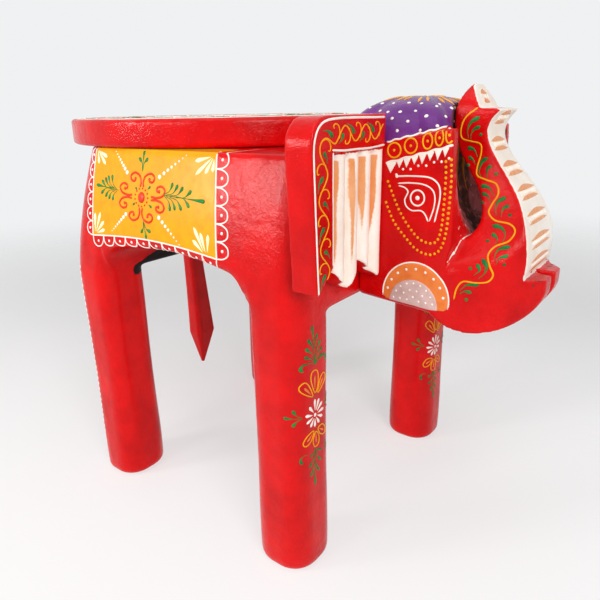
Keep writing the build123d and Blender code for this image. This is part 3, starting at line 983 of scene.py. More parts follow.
# ---- seat board -----------------------------------------------------------
@dataclass
class SeatBoard(CarvedPiece):
    """Oval seat board: plain red rim, painted top with a bordered field and a flower medallion."""

    node: str = "seat_board"
    seed: int = 1
    middle_x: float = -75.6
    half_length: float = 131.0
    half_width: float = 106.5
    band_inner: float = 0.80
    band_width: float = 0.135
    band_lines: Point = (0.945, 0.795)
    leaves: int = 36
    leaf_line: float = 0.868
    leaf_reach: float = 0.03
    scallops: int = 44
    scallop_root: float = 0.79
    scallop_shoulder: float = 0.745
    scallop_tip: float = 0.722

    def finish(self) -> GlossEnamel:
        """Red enamel with the pale rubs of handling."""
        return GlossEnamel("red_enamel_handled", *RED, scuff_share=0.5)

    def _oval(self, turn: float, share: float) -> Point:
        """A point at a share of the way from the middle to the rim."""
        along = self.half_length * share * math.cos(turn)
        return self.middle_x + along, self.half_width * share * math.sin(turn)

    def _band(self, s: float, t: float) -> Point:
        """A point of the yellow band, at shares round it and across it."""
        return self._oval(math.tau * s, self.band_inner + self.band_width * t)

    def _ring(self, share: float) -> np.ndarray:
        """A closed line at a share of the way out."""
        return np.array([self._oval(math.tau * k / 160, share) for k in range(161)])

    def paint(self, carved: bpy.types.Object) -> None:
        """Paint the top: border, leaf band, scallops and medallion.

        Args:
            carved: the carved board.
        """
        brush = Brush(top_stencil(surface_of([carved])))
        brush.sheet(Paint.PANEL, self._band, columns=200, rows=8, height=0.2)
        for share, width in zip(self.band_lines, (2.0, 1.8)):
            brush.line(Paint.WHITE, self._ring(share), width, closed=True)
        brush.lift = 0.2
        for k in range(self.leaves):
            turn, nxt = math.tau * k / self.leaves, math.tau * (k + 1) / self.leaves
            low, high = (0.835, 0.9) if k % 2 else (0.9, 0.835)
            middle = self._oval((turn + nxt) / 2, self.leaf_line)
            wave = [self._oval(turn, low), middle, self._oval(nxt, high)]
            brush.line(Paint.VERMILION, flowing(wave), 1.3)
            for side in (-1, 1):
                root = self._oval(turn, self.leaf_line)
                out = self.leaf_reach if k % 2 else -self.leaf_reach
                tip = self._oval(turn + side * 0.055, self.leaf_line + out)
                brush.drop(Paint.GREEN, tip, root, 2.2, bend=0.2 * side)
            brush.dot(Paint.WHITE, *self._oval((turn + nxt) / 2, 0.905 if k % 2 else 0.83), 0.9)
        brush.lift = 0.0
        for k in range(self.scallops):
            a, b = math.tau * k / self.scallops, math.tau * (k + 1) / self.scallops
            lobe = [self._oval(a, self.scallop_root), self._oval(a + 0.02, self.scallop_shoulder),
                    self._oval((a + b) / 2, self.scallop_tip), self._oval(b - 0.02, self.scallop_shoulder),
                    self._oval(b, self.scallop_root)]
            brush.line(Paint.WHITE, flowing(lobe), 1.1)
            brush.dot(Paint.WHITE, *self._oval((a + b) / 2, 0.758), 1.0)
        self._medallion(brush)
        brush.build("seat_top_painting")

    def _medallion(self, brush: Brush) -> None:
        """Draw a flower in the middle of the seat, with sprays and dots round it.

        Args:
            brush: draws it.
        """
        petal_rings = ((16, 0.36, 0.5, 0.085, Paint.YELLOW), (12, 0.12, 0.33, 0.14, Paint.ORANGE))
        for petals, near, far, width, paint in petal_rings:
            waist = near + (far - near) * 0.5
            petal = ((0, near), (-width * 0.8, waist), (-width * 0.55, far * 0.96), (0, far),
                     (width * 0.55, far * 0.96), (width * 0.8, waist))
            for k in range(petals):
                turn = math.tau * (k + 0.5) / petals
                shape = [self._oval(turn + off, share) for off, share in petal]
                outline = flowing(shape, step=1.6, closed=True)
                brush.fill(paint, outline[:-1], 0.25)
                brush.line(Paint.WHITE, flowing(shape, step=1.2, closed=True), 0.9, 0.5, closed=True)
        brush.fill(Paint.VERMILION, self._ring(0.09)[:-1:4], 0.3)
        for k in range(12):
            brush.dot(Paint.WHITE, *self._oval(math.tau * k / 12, 0.065), 1.0, 0.8)
            brush.dot(Paint.WHITE, *self._oval(math.tau * k / 12, 0.35), 1.3)
        for k in range(16):
            turn = math.tau * k / 16
            root, tip = self._oval(turn, 0.51), self._oval(turn, 0.675)
            brush.palmette(Paint.GREEN, root, tip, 3, 6.0, 1.7)
            brush.dot(Paint.WHITE, *self._oval(turn + math.pi / 16, 0.60), 1.5)
            brush.dot(Paint.YELLOW, *self._oval(turn + math.pi / 16, 0.66), 1.1)


# ---- body and legs --------------------------------------------------------
@dataclass
class Carcass(CarvedPiece):
    """Body block and legs, filled at their joints and enamelled as one skin.

    The skin is carved in one go and then parted at the shoulders of the legs, so that the joints are
    as flush as filler and paint leave them.
    """

    node: str = "torso_block"
    voxel_mm: float = 1.7
    easing: int = 5
    seed: int = 2
    wave_mm: tuple[float, float, float] = (26.0, 26.0, 38.0)
    parting_z: float = 185.4
    middle_x: float = -15.1
    arch_half: float = 71.0
    black_starts: Point = (177.0, 197.0)
    cloth_edges: Point = (-94.6, 30.2)
    leg_reach: float = 50.0
    legs: tuple[str, ...] = ("leg_front_right", "leg_front_left", "leg_rear_right", "leg_rear_left")

    def finish(self) -> GlossEnamel:
        """Red enamel, with the belly left in black and the cloth's yellow turned over the top edge."""
        belly = Zone("belly_mm", *BLACK, ragged_mm=1.8, soft_mm=0.5, roughness=0.45)
        cloth = Zone("cloth_mm", *Paint.PANEL.value, ragged_mm=0.5)
        return GlossEnamel("red_enamel_black_belly", *RED, zones=(belly, cloth))

    def zones(self, spots: np.ndarray, normals: np.ndarray) -> dict[str, np.ndarray]:
        """Find where the belly's black paint lies, and the yellow on the top face beside the seat.

        The black covers the shoulders of the arch down to a wavering line, less far towards the
        right side, and the crown of the arch behind it.

        Args:
            spots: corners of the mesh in millimetres.
            normals: their outward directions.

        Returns:
            Millimetres into the black and into the yellow.
        """
        x, y, z = spots.T
        inward = normals[:, 0] * np.sign(self.middle_x - x)
        starts = np.where(x < self.middle_x, *self.black_starts) + 3.0 * np.sin(x * 0.35 + y * 0.21)
        right_reach = np.maximum(92.0 - 3.0 * np.maximum(z - 188.0, 0), 30.0)
        shoulders = np.minimum.reduce([(inward - 0.35) * 14, z - starts, y + right_reach, 92.0 - y,
                                       self.arch_half + 12.0 - np.abs(x - self.middle_x)])
        crown = np.minimum.reduce([(-normals[:, 2] - 0.5) * 10, y + 40.0, 78.0 - y, z - 196.0])
        rear, front = self.cloth_edges
        turned = np.minimum.reduce([(normals[:, 2] - 0.2) * 10, z - 278.0, x - rear, front - x,
                                    np.abs(y) - 84.0])
        return {"belly_mm": np.maximum(shoulders, crown), "cloth_mm": turned}

    def build_all(self) -> list[bpy.types.Object]:
        """Carve the skin, part it and place the five pieces.

        Returns:
            The body first, then the legs.
        """
        solids = [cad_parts[n].data for n in (self.node, *self.legs)]
        skin = remeshed(solids, "carcass_skin", self.voxel_mm, self.easing)
        self.press_unevenness(skin)
        made = [self._part(skin, self.node, lambda co: True, above=True)]
        for name in self.legs:
            low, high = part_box(name)
            middle = (low + high) / 2

            def near(co: Vector, centre: Vector = middle) -> bool:
                """Whether a corner belongs to this leg."""
                return (co.xy - centre.xy).length < self.leg_reach * MM

            made.append(self._part(skin, name, near, above=False))
        bpy.data.meshes.remove(skin)
        return made

    def _part(self, skin: bpy.types.Mesh, name: str, belongs: Callable[[Vector], bool],
              above: bool) -> bpy.types.Object:
        """Cut one piece from the skin and close the cut.

        Args:
            skin: the skin of body and legs, which stays as it is.
            name: node that the piece stands for.
            belongs: whether a corner is kept.
            above: whether the piece lies above the parting.

        Returns:
            The placed piece.
        """
        shape = bmesh.new()
        shape.from_mesh(skin)
        bmesh.ops.delete(shape, geom=[v for v in shape.verts if not belongs(v.co)], context="VERTS")
        bmesh.ops.bisect_plane(shape, geom=shape.verts[:] + shape.edges[:] + shape.faces[:],
                               plane_co=(0, 0, self.parting_z * MM), plane_no=(0, 0, 1),
                               clear_inner=above, clear_outer=not above)
        keep_outer_shell(shape)
        piece = Carcass(node=name) if above else Leg(node=name)
        return piece.place(closed_cut(shape, f"{name}_carved"))

    def paint(self, surface: BVHTree) -> None:
        """Paint both flanks and the rump.

        Args:
            surface: the body with its legs.
        """
        for side, label in ((-1, "right"), (1, "left")):
            brush = Brush(side_stencil(surface, side))
            Saddlecloth().draw(brush)
            brush.build(f"saddlecloth_painting_{label}")
        rump = Brush(front_stencil(surface, facing=-1))
        for y in (-34, 46):
            rump.palmette(Paint.GREEN, (y, 236), (y, 262), pairs=3, breadth=7.0, width=1.7)
        rump.build("rump_painting")


@dataclass
class Saddlecloth:
    """Yellow painted cloth on each flank, with scallops round it and a scrolled flower in the middle."""

    left: float = -94.6
    right_top: float = 29.8
    right_bottom: float = 36.2
    bottom: float = 217.2
    top: float = 280.2
    bulge: float = 3.8
    centre: Point = (-38.1, 248.9)
    reach: Point = (24.0, 16.0)
    edge_line: float = 1.3
    lobe_line: float = 1.1
    lobe_dot: float = 1.15
    scroll_line: float = 1.9
    heart_radius: float = 4.2
    heart_dots: Point = (6.8, 6.0)
    leaf_width: float = 3.3
    drop_width: float = 3.5

    def place(self, s: float, t: float) -> Point:
        """Find a point of the cloth.

        Args:
            s: share across it, from rear to front.
            t: share up it.

        Returns:
            The drawing point.
        """
        low = self.bottom + self.bulge * math.sin(math.pi * s)
        right = self.right_bottom + (self.right_top - self.right_bottom) * t
        return self.left + (right - self.left) * s, low + (self.top - low) * t

    def draw(self, brush: Brush) -> None:
        """Draw the whole cloth.

        Args:
            brush: draws it on one flank.
        """
        brush.sheet(Paint.PANEL, self.place, columns=66, rows=32, height=0.2)
        brush.lift = 0.1
        path = np.vstack([np.linspace(self.place(0, 1), self.place(0, 0), 50),
                          np.array([self.place(s, 0) for s in np.linspace(0, 1, 120)[1:]]),
                          np.linspace(self.place(1, 0), self.place(1, 1), 50)[1:]])
        brush.line(Paint.WHITE, path, self.edge_line)
        brush.lift = 0.0
        self._lobes(brush, [self.place(1, t) for t in np.linspace(1.02, 0.0, 7)], (1, 0), (10.2, 10.2))
        self._lobes(brush, [self.place(s, 0) for s in np.linspace(0.0, 1.0, 11)], (0, -1), (8.6, 6.6))
        self._lobes(brush, [self.place(0, t) for t in np.linspace(1.0, 0.0, 7)], (-1, 0), (7.0, 7.0))
        brush.lift = 0.2
        self._flower(brush)
        self._leaves(brush)

    def _lobes(self, brush: Brush, marks: Sequence[Point], out: Point, depth: Point) -> None:
        """A row of scallops outside one edge, each with a dot.

        Args:
            brush: draws them.
            marks: where one scallop ends and the next begins.
            out: which way they hang.
            depth: how far the outermost and the middle ones hang.
        """
        way = np.array(out, float)
        count = len(marks) - 1
        for k in range(count):
            a, b = np.asarray(marks[k]), np.asarray(marks[k + 1])
            deep = depth[0] + (depth[1] - depth[0]) * math.sin(math.pi * (k + 0.5) / count)
            sags = ((0.0, 0.0), (0.06, 0.55), (0.3, 0.95), (0.7, 0.95), (0.94, 0.55), (1.0, 0.0))
            path = flowing([tuple(a + (b - a) * s + way * deep * sag) for s, sag in sags])
            brush.line(Paint.WHITE, path, self.lobe_line, 0.4)
            brush.dot(Paint.WHITE, *((a + b) / 2 + way * deep * 0.5), self.lobe_dot)

    def _spot(self, x: float, y: float) -> Point:
        """A point of the flower in shares of its reach."""
        return self.centre[0] + x * self.reach[0], self.centre[1] + y * self.reach[1]

    def _flower(self, brush: Brush) -> None:
        """Draw eight scrolls round a dotted heart.

        Args:
            brush: draws them.
        """
        scroll = ((0.07, 0.42), (0.05, 0.66), (0.14, 0.9), (0.36, 1.0), (0.52, 0.86), (0.47, 0.68),
                  (0.33, 0.66), (0.31, 0.76))
        for quarter in range(4):
            for flip in (-1, 1):
                path = []
                for x, y in scroll:
                    x *= flip
                    for _ in range(quarter):
                        x, y = y, -x
                    path.append(self._spot(x, y))
                brush.line(Paint.VERMILION, flowing(path, step=0.7), self.scroll_line, 0.5)
                brush.dot(Paint.VERMILION, *path[-1], 1.35)
        brush.dot(Paint.VERMILION, *self.centre, self.heart_radius, 0.7)
        dots = 13
        for k in range(dots):
            turn = math.tau * k / dots
            brush.dot(Paint.VERMILION, self.centre[0] + self.heart_dots[0] * math.cos(turn),
                      self.centre[1] + self.heart_dots[1] * math.sin(turn), 0.8)
        for place in ((-43.9, 254.3), (-30.6, 255.5), (-45.5, 244.2), (-28.6, 243.9)):
            way = (place[0] - self.centre[0], place[1] - self.centre[1])
            brush.drop(Paint.LEAF, (place[0] + way[0] * 0.2, place[1] + way[1] * 0.2),
                       (place[0] - way[0] * 0.15, place[1] - way[1] * 0.15), 2.6)
        for start, end in (((-20.6, 263.3), (3.5, 277.6)), ((-55.3, 264.6), (-69.5, 278.0)),
                           ((-19.0, 237.2), (1.8, 221.8)), ((-54.6, 236.2), (-70.4, 223.0))):
            for step in range(8):
                share = (step / 7) ** 0.9
                brush.dot(Paint.WHITE, start[0] + (end[0] - start[0]) * share,
                          start[1] + (end[1] - start[1]) * share, 1.75 - 1.25 * step / 7, 0.5)

    def _leaves(self, brush: Brush) -> None:
        """Draw green palmettes on the axes and pale sprays in the corners, each leaf head and foot.

        Args:
            brush: draws them.
        """
        palmettes = (
            (((-6.9, 260.4), (-14.3, 252.7)), ((-1.8, 259.4), (-12.6, 252.3)), ((3.2, 258.3), (-9.0, 252.2)),
             ((11.0, 256.6), (-3.2, 252.0)), ((-8.0, 242.3), (-14.3, 251.5)), ((-3.2, 243.4), (-12.6, 251.3)),
             ((2.8, 243.8), (-9.0, 251.1)), ((10.0, 246.2), (-3.2, 251.3)), ((23.7, 250.8), (-15.5, 252.0))),
            (((-72.3, 262.1), (-66.2, 252.7)), ((-76.6, 261.4), (-67.9, 252.8)),
             ((-80.1, 259.8), (-69.7, 253.1)), ((-84.0, 257.8), (-71.4, 253.4)),
             ((-70.5, 244.6), (-65.7, 251.3)), ((-74.9, 245.2), (-67.9, 251.6)),
             ((-79.2, 246.6), (-69.7, 251.9)), ((-84.4, 248.5), (-71.4, 252.2)),
             ((-90.3, 254.2), (-64.0, 252.0))),
            (((-38.8, 279.2), (-38.6, 266.0)), ((-43.4, 274.6), (-38.9, 266.8)),
             ((-33.8, 274.7), (-38.3, 266.8))),
            (((-31.6, 221.8), (-34.9, 233.2)), ((-37.4, 225.2), (-35.2, 232.6)),
             ((-27.0, 226.8), (-34.4, 232.4))),
        )
        for leaves in palmettes:
            spine = np.subtract(leaves[-1 if len(leaves) > 3 else 0][0], leaves[-1][1])
            for head, foot in leaves:
                beside = (head[0] - foot[0]) * spine[1] - (head[1] - foot[1]) * spine[0]
                lean = 0.0 if abs(beside) < 20 else -math.copysign(0.17, beside)
                brush.drop(Paint.LEAF, head, foot, self.leaf_width, bend=lean, stroke=Stroke.CLUB)
        sprays = (
            (((13.3, 266.3), (26.5, 276.9)), ((21.7, 267.3), (27.3, 276.4)),
             ((28.0, 268.5), (28.4, 276.0)), ((12.0, 274.5), (25.0, 277.3))),
            (((-89.0, 269.0), (-91.4, 277.8)), ((-80.8, 268.8), (-90.5, 277.8)),
             ((-79.7, 274.0), (-90.5, 278.1))),
            (((14.9, 234.4), (24.6, 220.7)), ((21.0, 231.6), (26.4, 220.3)),
             ((28.0, 231.2), (28.3, 220.4)), ((14.4, 226.3), (23.9, 219.9))),
            (((-84.9, 234.8), (-90.4, 220.4)), ((-91.6, 233.8), (-91.5, 220.4)),
             ((-80.6, 228.8), (-89.7, 220.0)), ((-79.7, 222.8), (-88.8, 219.6))),
        )
        for blades in sprays:
            for head, foot in blades:
                brush.drop(Paint.CREAM, head, foot, self.drop_width)


@dataclass
class Leg(CarvedPiece):
    """One leg, softly squared; the front ones carry a flower and the rear ones a line of dashes."""

    node: str = "leg_front_right"
    wrap_radius: float = 21.0
    dash_bearing: float = 60.0
    dash_rows: Point = (26.0, 192.0)
    dash_pitch: float = 5.2
    dash_length: float = 3.0
    dash_width: float = 0.9

    def finish(self) -> GlossEnamel:
        """The same skin as the body."""
        return Carcass().finish()

    def zones(self, spots: np.ndarray, normals: np.ndarray) -> dict[str, np.ndarray]:
        """Find where the belly's black runs down on the inner faces of the rear legs.

        Args:
            spots: corners of the mesh in millimetres.
            normals: their outward directions.

        Returns:
            Millimetres into the black, and nothing of the yellow, which the body's finish also reads.
        """
        none = np.full(len(spots), NOWHERE)
        belly = none if "front" in self.node else Carcass().zones(spots, normals)["belly_mm"]
        return {"belly_mm": belly, "cloth_mm": none}

    def paint(self, surface: BVHTree) -> None:
        """Paint the leg's own ornament.

        Args:
            surface: the body with its legs.
        """
        low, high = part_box(self.node)
        middle = (low + high) / 2
        side = 1 if middle.y > 0 else -1
        faces_front = "front" in self.node
        bearing = 0.0 if faces_front else math.pi - side * math.radians(self.dash_bearing)
        stencil = WrapStencil(surface, Vector((middle.x, middle.y, 0)), Vector(), Vector(), Vector(),
                              zero_angle=bearing, radius=self.wrap_radius)
        brush = Brush(stencil)
        if faces_front:
            self._flower(brush, side)
        else:
            for z in map(float, np.arange(*self.dash_rows, self.dash_pitch)):
                brush.drop(Paint.WHITE, (0, z), (0, z + self.dash_length), self.dash_width,
                           stroke=Stroke.EVEN)
        brush.build(f"{self.node}_painting")

    @staticmethod
    def _flower(brush: Brush, side: int) -> None:
        """White daisy with yellow petals, green palmettes above and below and a spray on each side.

        Args:
            brush: draws it round the leg.
            side: -1 for the right leg, 1 for the left one, whose flower is mirrored and sits lower.
        """
        heart = (-1.3, 119.3)
        middle = heart if side < 0 else (-7.7, 97.0)

        def at(u: float, v: float) -> Point:
            """A point of the right leg's flower, carried over to this leg."""
            return middle[0] - side * (u - heart[0]), middle[1] + v - heart[1]

        for head in ((-1.7, 130.9), (2.9, 129.5), (6.5, 125.6), (8.1, 120.0), (6.8, 114.8), (3.2, 111.6),
                     (-1.6, 110.6), (-6.2, 112.4), (-9.6, 116.6), (-10.5, 122.4), (-7.3, 127.6)):
            foot = (heart[0] + 0.3 * (head[0] - heart[0]), heart[1] + 0.3 * (head[1] - heart[1]))
            brush.drop(Paint.WHITE, at(*head), at(*foot), 2.9, height=0.5)
        brush.dot(Paint.WHITE, *at(*heart), 1.5)
        petals = (((-4.1, 133.8), (-12.5, 139.6), (-14.2, 143.7), (-10.8, 146.2), (-7.4, 142.5)),
                  ((-1.7, 135.6), (-5.6, 145.3), (-5.1, 150.4), (-1.8, 151.4), (1.5, 148.4), (1.5, 139.5)),
                  ((1.6, 134.2), (7.6, 138.4), (9.8, 142.6), (7.2, 146.0), (3.6, 142.5)),
                  ((-2.9, 108.0), (-8.8, 107.6), (-12.2, 103.3), (-10.6, 100.4), (-5.8, 102.4)),
                  ((-0.8, 106.6), (-3.9, 101.2), (-2.1, 95.9), (2.2, 96.8), (2.3, 102.8)),
                  ((1.8, 108.0), (6.8, 108.6), (9.9, 103.6), (8.2, 100.6), (4.0, 102.8)))
        for shape in petals:
            outline = flowing([at(*p) for p in shape], step=0.7, closed=True)
            brush.line(Paint.YELLOW, outline, 0.95, 0.45, closed=True)
            inner = outline.mean(axis=0)
            root = np.asarray(at(*shape[0]))
            outward = inner - root
            brush.drop(Paint.ORANGE, tuple(inner + outward * 0.45), tuple(root + outward * 0.3), 1.9)
        sprays = (((-1.6, 155.2), ((-4.5, 182.1), (0.6, 175.4), (3.8, 170.2), (5.4, 164.6), (6.6, 159.6),
                                   (-8.1, 174.2), (-9.9, 168.7), (-10.6, 163.2))),
                  ((-0.9, 94.4), ((-2.6, 66.8), (-6.8, 75.6), (1.9, 75.4), (-7.9, 83.2), (4.3, 82.6),
                                  (-7.0, 90.8), (5.2, 90.2))),
                  ((-12.6, 121.9), ((-23.6, 122.5), (-18.2, 128.2), (-18.4, 116.6))),
                  ((10.0, 121.9), ((21.0, 122.5), (15.6, 128.2), (15.8, 116.6))))
        for root, heads in sprays:
            spine = np.subtract(heads[0], root)
            for head in heads:
                beside = (head[0] - root[0]) * spine[1] - (head[1] - root[1]) * spine[0]
                lean = 0.0 if abs(beside) < 20 else math.copysign(0.1, beside) * side
                brush.drop(Paint.GREEN, at(*head), at(*root), 2.8, bend=lean, stroke=Stroke.CLUB)
        for curl in (((-11.3, 153.6), (-13.2, 155.8), (-11.2, 158.2), (-6.2, 157.8), (-2.6, 155.6)),
                     ((8.7, 153.6), (10.6, 155.8), (8.6, 158.2), (3.6, 157.8), (-0.4, 155.6)),
                     ((-12.9, 87.8), (-14.2, 90.8), (-12.6, 93.6), (-9.8, 93.8)),
                     ((10.3, 87.8), (11.6, 90.8), (10.0, 93.6), (7.2, 93.8))):
            brush.line(Paint.GREEN, flowing([at(*p) for p in curl], step=0.7), 2.7, 0.45, Stroke.COMMA)


# ---- ears -----------------------------------------------------------------
@dataclass
class Ear(CarvedPiece):
    """Ear slab: red border with a yellow vine, ivory pleats with orange in their grooves."""

    node: str = "ear_right"
    voxel_mm: float = 1.0
    easing: int = 3
    unevenness_mm: float = 0.35
    seed: int = 4
    border_inner: float = 105.0
    hem_z: float = 281.0
    # Middle, half width, lowest point and taper of each orange streak.
    streaks: tuple[tuple[float, float, float, float], ...] = (
        (101.2, 2.9, 206.0, 20.0), (84.4, 2.2, 214.0, 46.0), (72.2, 2.8, 233.0, 46.0),
        (60.2, 4.3, 229.0, 46.0))
    # Painted shade in the creases: where each dark line runs down a groove, its half width and its lowest
    # height.
    seams: tuple[float, ...] = (104.5, 87.9, 76.0)
    crease_shade_half: float = 0.3
    crease_shade_low_z: float = 222.0
    front_x: float = 104.0
    vine_corner: float = 76.0
    vine_waves: Point = (25.8, 21.0)
    vine_swing: float = 4.1

    def finish(self) -> GlossEnamel:
        """Red, with the pleats in ivory and orange, and painted shade in dark lines down their grooves."""
        return GlossEnamel("red_and_ivory_enamel_ear", *RED, zones=(
            Zone("pleats_mm", *IVORY, ragged_mm=0.4, roughness=0.42),
            Zone("streaks_mm", "#E8904E", "#EFAE7C", ragged_mm=0.22, soft_mm=0.3, roughness=0.45),
            # Painted shade: dark lines down the grooves.
            Zone("seams_mm", "#8E5A34", "#B0784C", ragged_mm=0.08, soft_mm=0.15, roughness=0.5)))

    def zones(self, spots: np.ndarray, normals: np.ndarray) -> dict[str, np.ndarray]:
        """Find where the ivory, its orange streaks and the painted shade in dark lines down the grooves lie.

        Args:
            spots: corners of the mesh in millimetres.
            normals: their outward directions.

        Returns:
            Millimetres into the ivory, the streaks and the painted shade lines.
        """
        x, y, z = spots[:, 0], np.abs(spots[:, 1]), spots[:, 2]
        pleats = np.minimum.reduce([self.border_inner - 0.2 - y, self.hem_z - z, x - self.front_x,
                                    (normals[:, 0] - 0.12) * 9])
        inside = np.minimum(pleats, self.hem_z - 3.0 - z)
        streaks = np.full(len(spots), NOWHERE)
        for middle, half, low, taper in self.streaks:
            waver = 1 + 0.1 * np.sin(z * 0.19 + middle)
            width = half * np.clip((z - low) / taper, 0, 1) ** 0.6 * waver - 0.5
            streaks = np.maximum(streaks, width - np.abs(y - middle - 0.5 * np.sin(z * 0.06 + middle)))
        # Painted shade: dark lines down the grooves, below the hem.
        drift = 0.4 * np.sin(z * 0.05)
        seams = np.max([self.crease_shade_half - np.abs(y - at - drift) for at in self.seams], axis=0)
        return {"pleats_mm": pleats, "streaks_mm": np.minimum(inside, streaks),
                "seams_mm": np.minimum.reduce([inside, seams, z - self.crease_shade_low_z])}

    def paint(self, carved: bpy.types.Object) -> None:
        """Outline the border and run the vine along it.

        Args:
            carved: the carved ear.
        """
        side = 1 if self.node.endswith("left") else -1
        stencil = front_stencil(surface_of([carved]))
        stencil.across = Vector((0, side, 0))
        brush = Brush(stencil)
        outer = [(119.9, 208.8), (120.9, 226.3), (121.8, 244.3), (122.6, 261.3), (123.1, 273.6),
                 (123.3, 284.0), (122.2, 290.0), (118.9, 295.2), (113.0, 298.2), (103.0, 299.2),
                 (87.0, 299.3), (69.5, 299.0), (52.4, 298.8)]
        brush.line(Paint.WHITE, flowing(outer), 1.5)
        brush.line(Paint.WHITE, flowing([(106.0, 222.0), (106.2, 250.0), (106.3, 282.6)]), 1.0)
        brush.line(Paint.WHITE, flowing([(107.0, 283.9), (96.0, 283.0), (84.0, 282.9), (68.5, 282.6),
                                         (51.6, 283.4)]), 1.4)
        self._vine(brush)
        brush.build(f"{self.node}_painting")

    def _vine(self, brush: Brush) -> None:
        """Draw a yellow scrolling vine with a bold green leaf and a curl in each bend.

        Args:
            brush: draws it.
        """
        spine = flowing([(113.4, 214.0), (114.4, 240.0), (115.2, 262.0), (115.4, 276.0), (113.4, 286.6),
                         (106.0, 290.8), (96.0, 291.4), (80.0, 291.4), (53.6, 291.2)], step=1.0)
        ahead = np.gradient(spine, axis=0)
        ahead /= np.linalg.norm(ahead, axis=1)[:, None]
        beside = np.stack([-ahead[:, 1], ahead[:, 0]], axis=1)
        run = np.arange(len(spine)) * 1.0
        side_wave, top_wave = self.vine_waves
        turns = (np.minimum(run, self.vine_corner) / side_wave
                 + np.maximum(run - self.vine_corner, 0) / top_wave)
        sway = self.vine_swing * np.sin(math.tau * turns)
        brush.line(Paint.YELLOW, spine + beside * sway[:, None], 0.95)
        for k in range(int((turns[-1] - 0.3) * 2) + 1):
            at = int(np.interp(0.25 + 0.5 * k, turns, run))
            turn = 1 if k % 2 == 0 else -1
            place, way, out = spine[at], ahead[at], beside[at] * turn

            def spot(across: float, along: float, origin: np.ndarray = place, side: np.ndarray = out,
                     onward: np.ndarray = way) -> Point:
                """A point beside this bend."""
                return tuple(origin + side * across + onward * along)

            curl = [spot(*place) for place in ((2.8, 4.4), (-0.4, 5.8), (-3.6, 5.2), (-5.2, 3.0),
                                               (-4.9, 0.9), (-3.2, 0.9))]
            brush.line(Paint.YELLOW, flowing(curl, step=0.7), 0.85)
            tip = spot(-5.0, -8.6) if turn > 0 else spot(-4.4, -5.4)
            brush.drop(Paint.GREEN, spot(0.4, -0.8), tip, 3.7, bend=0.12 * turn, stroke=Stroke.COMMA)


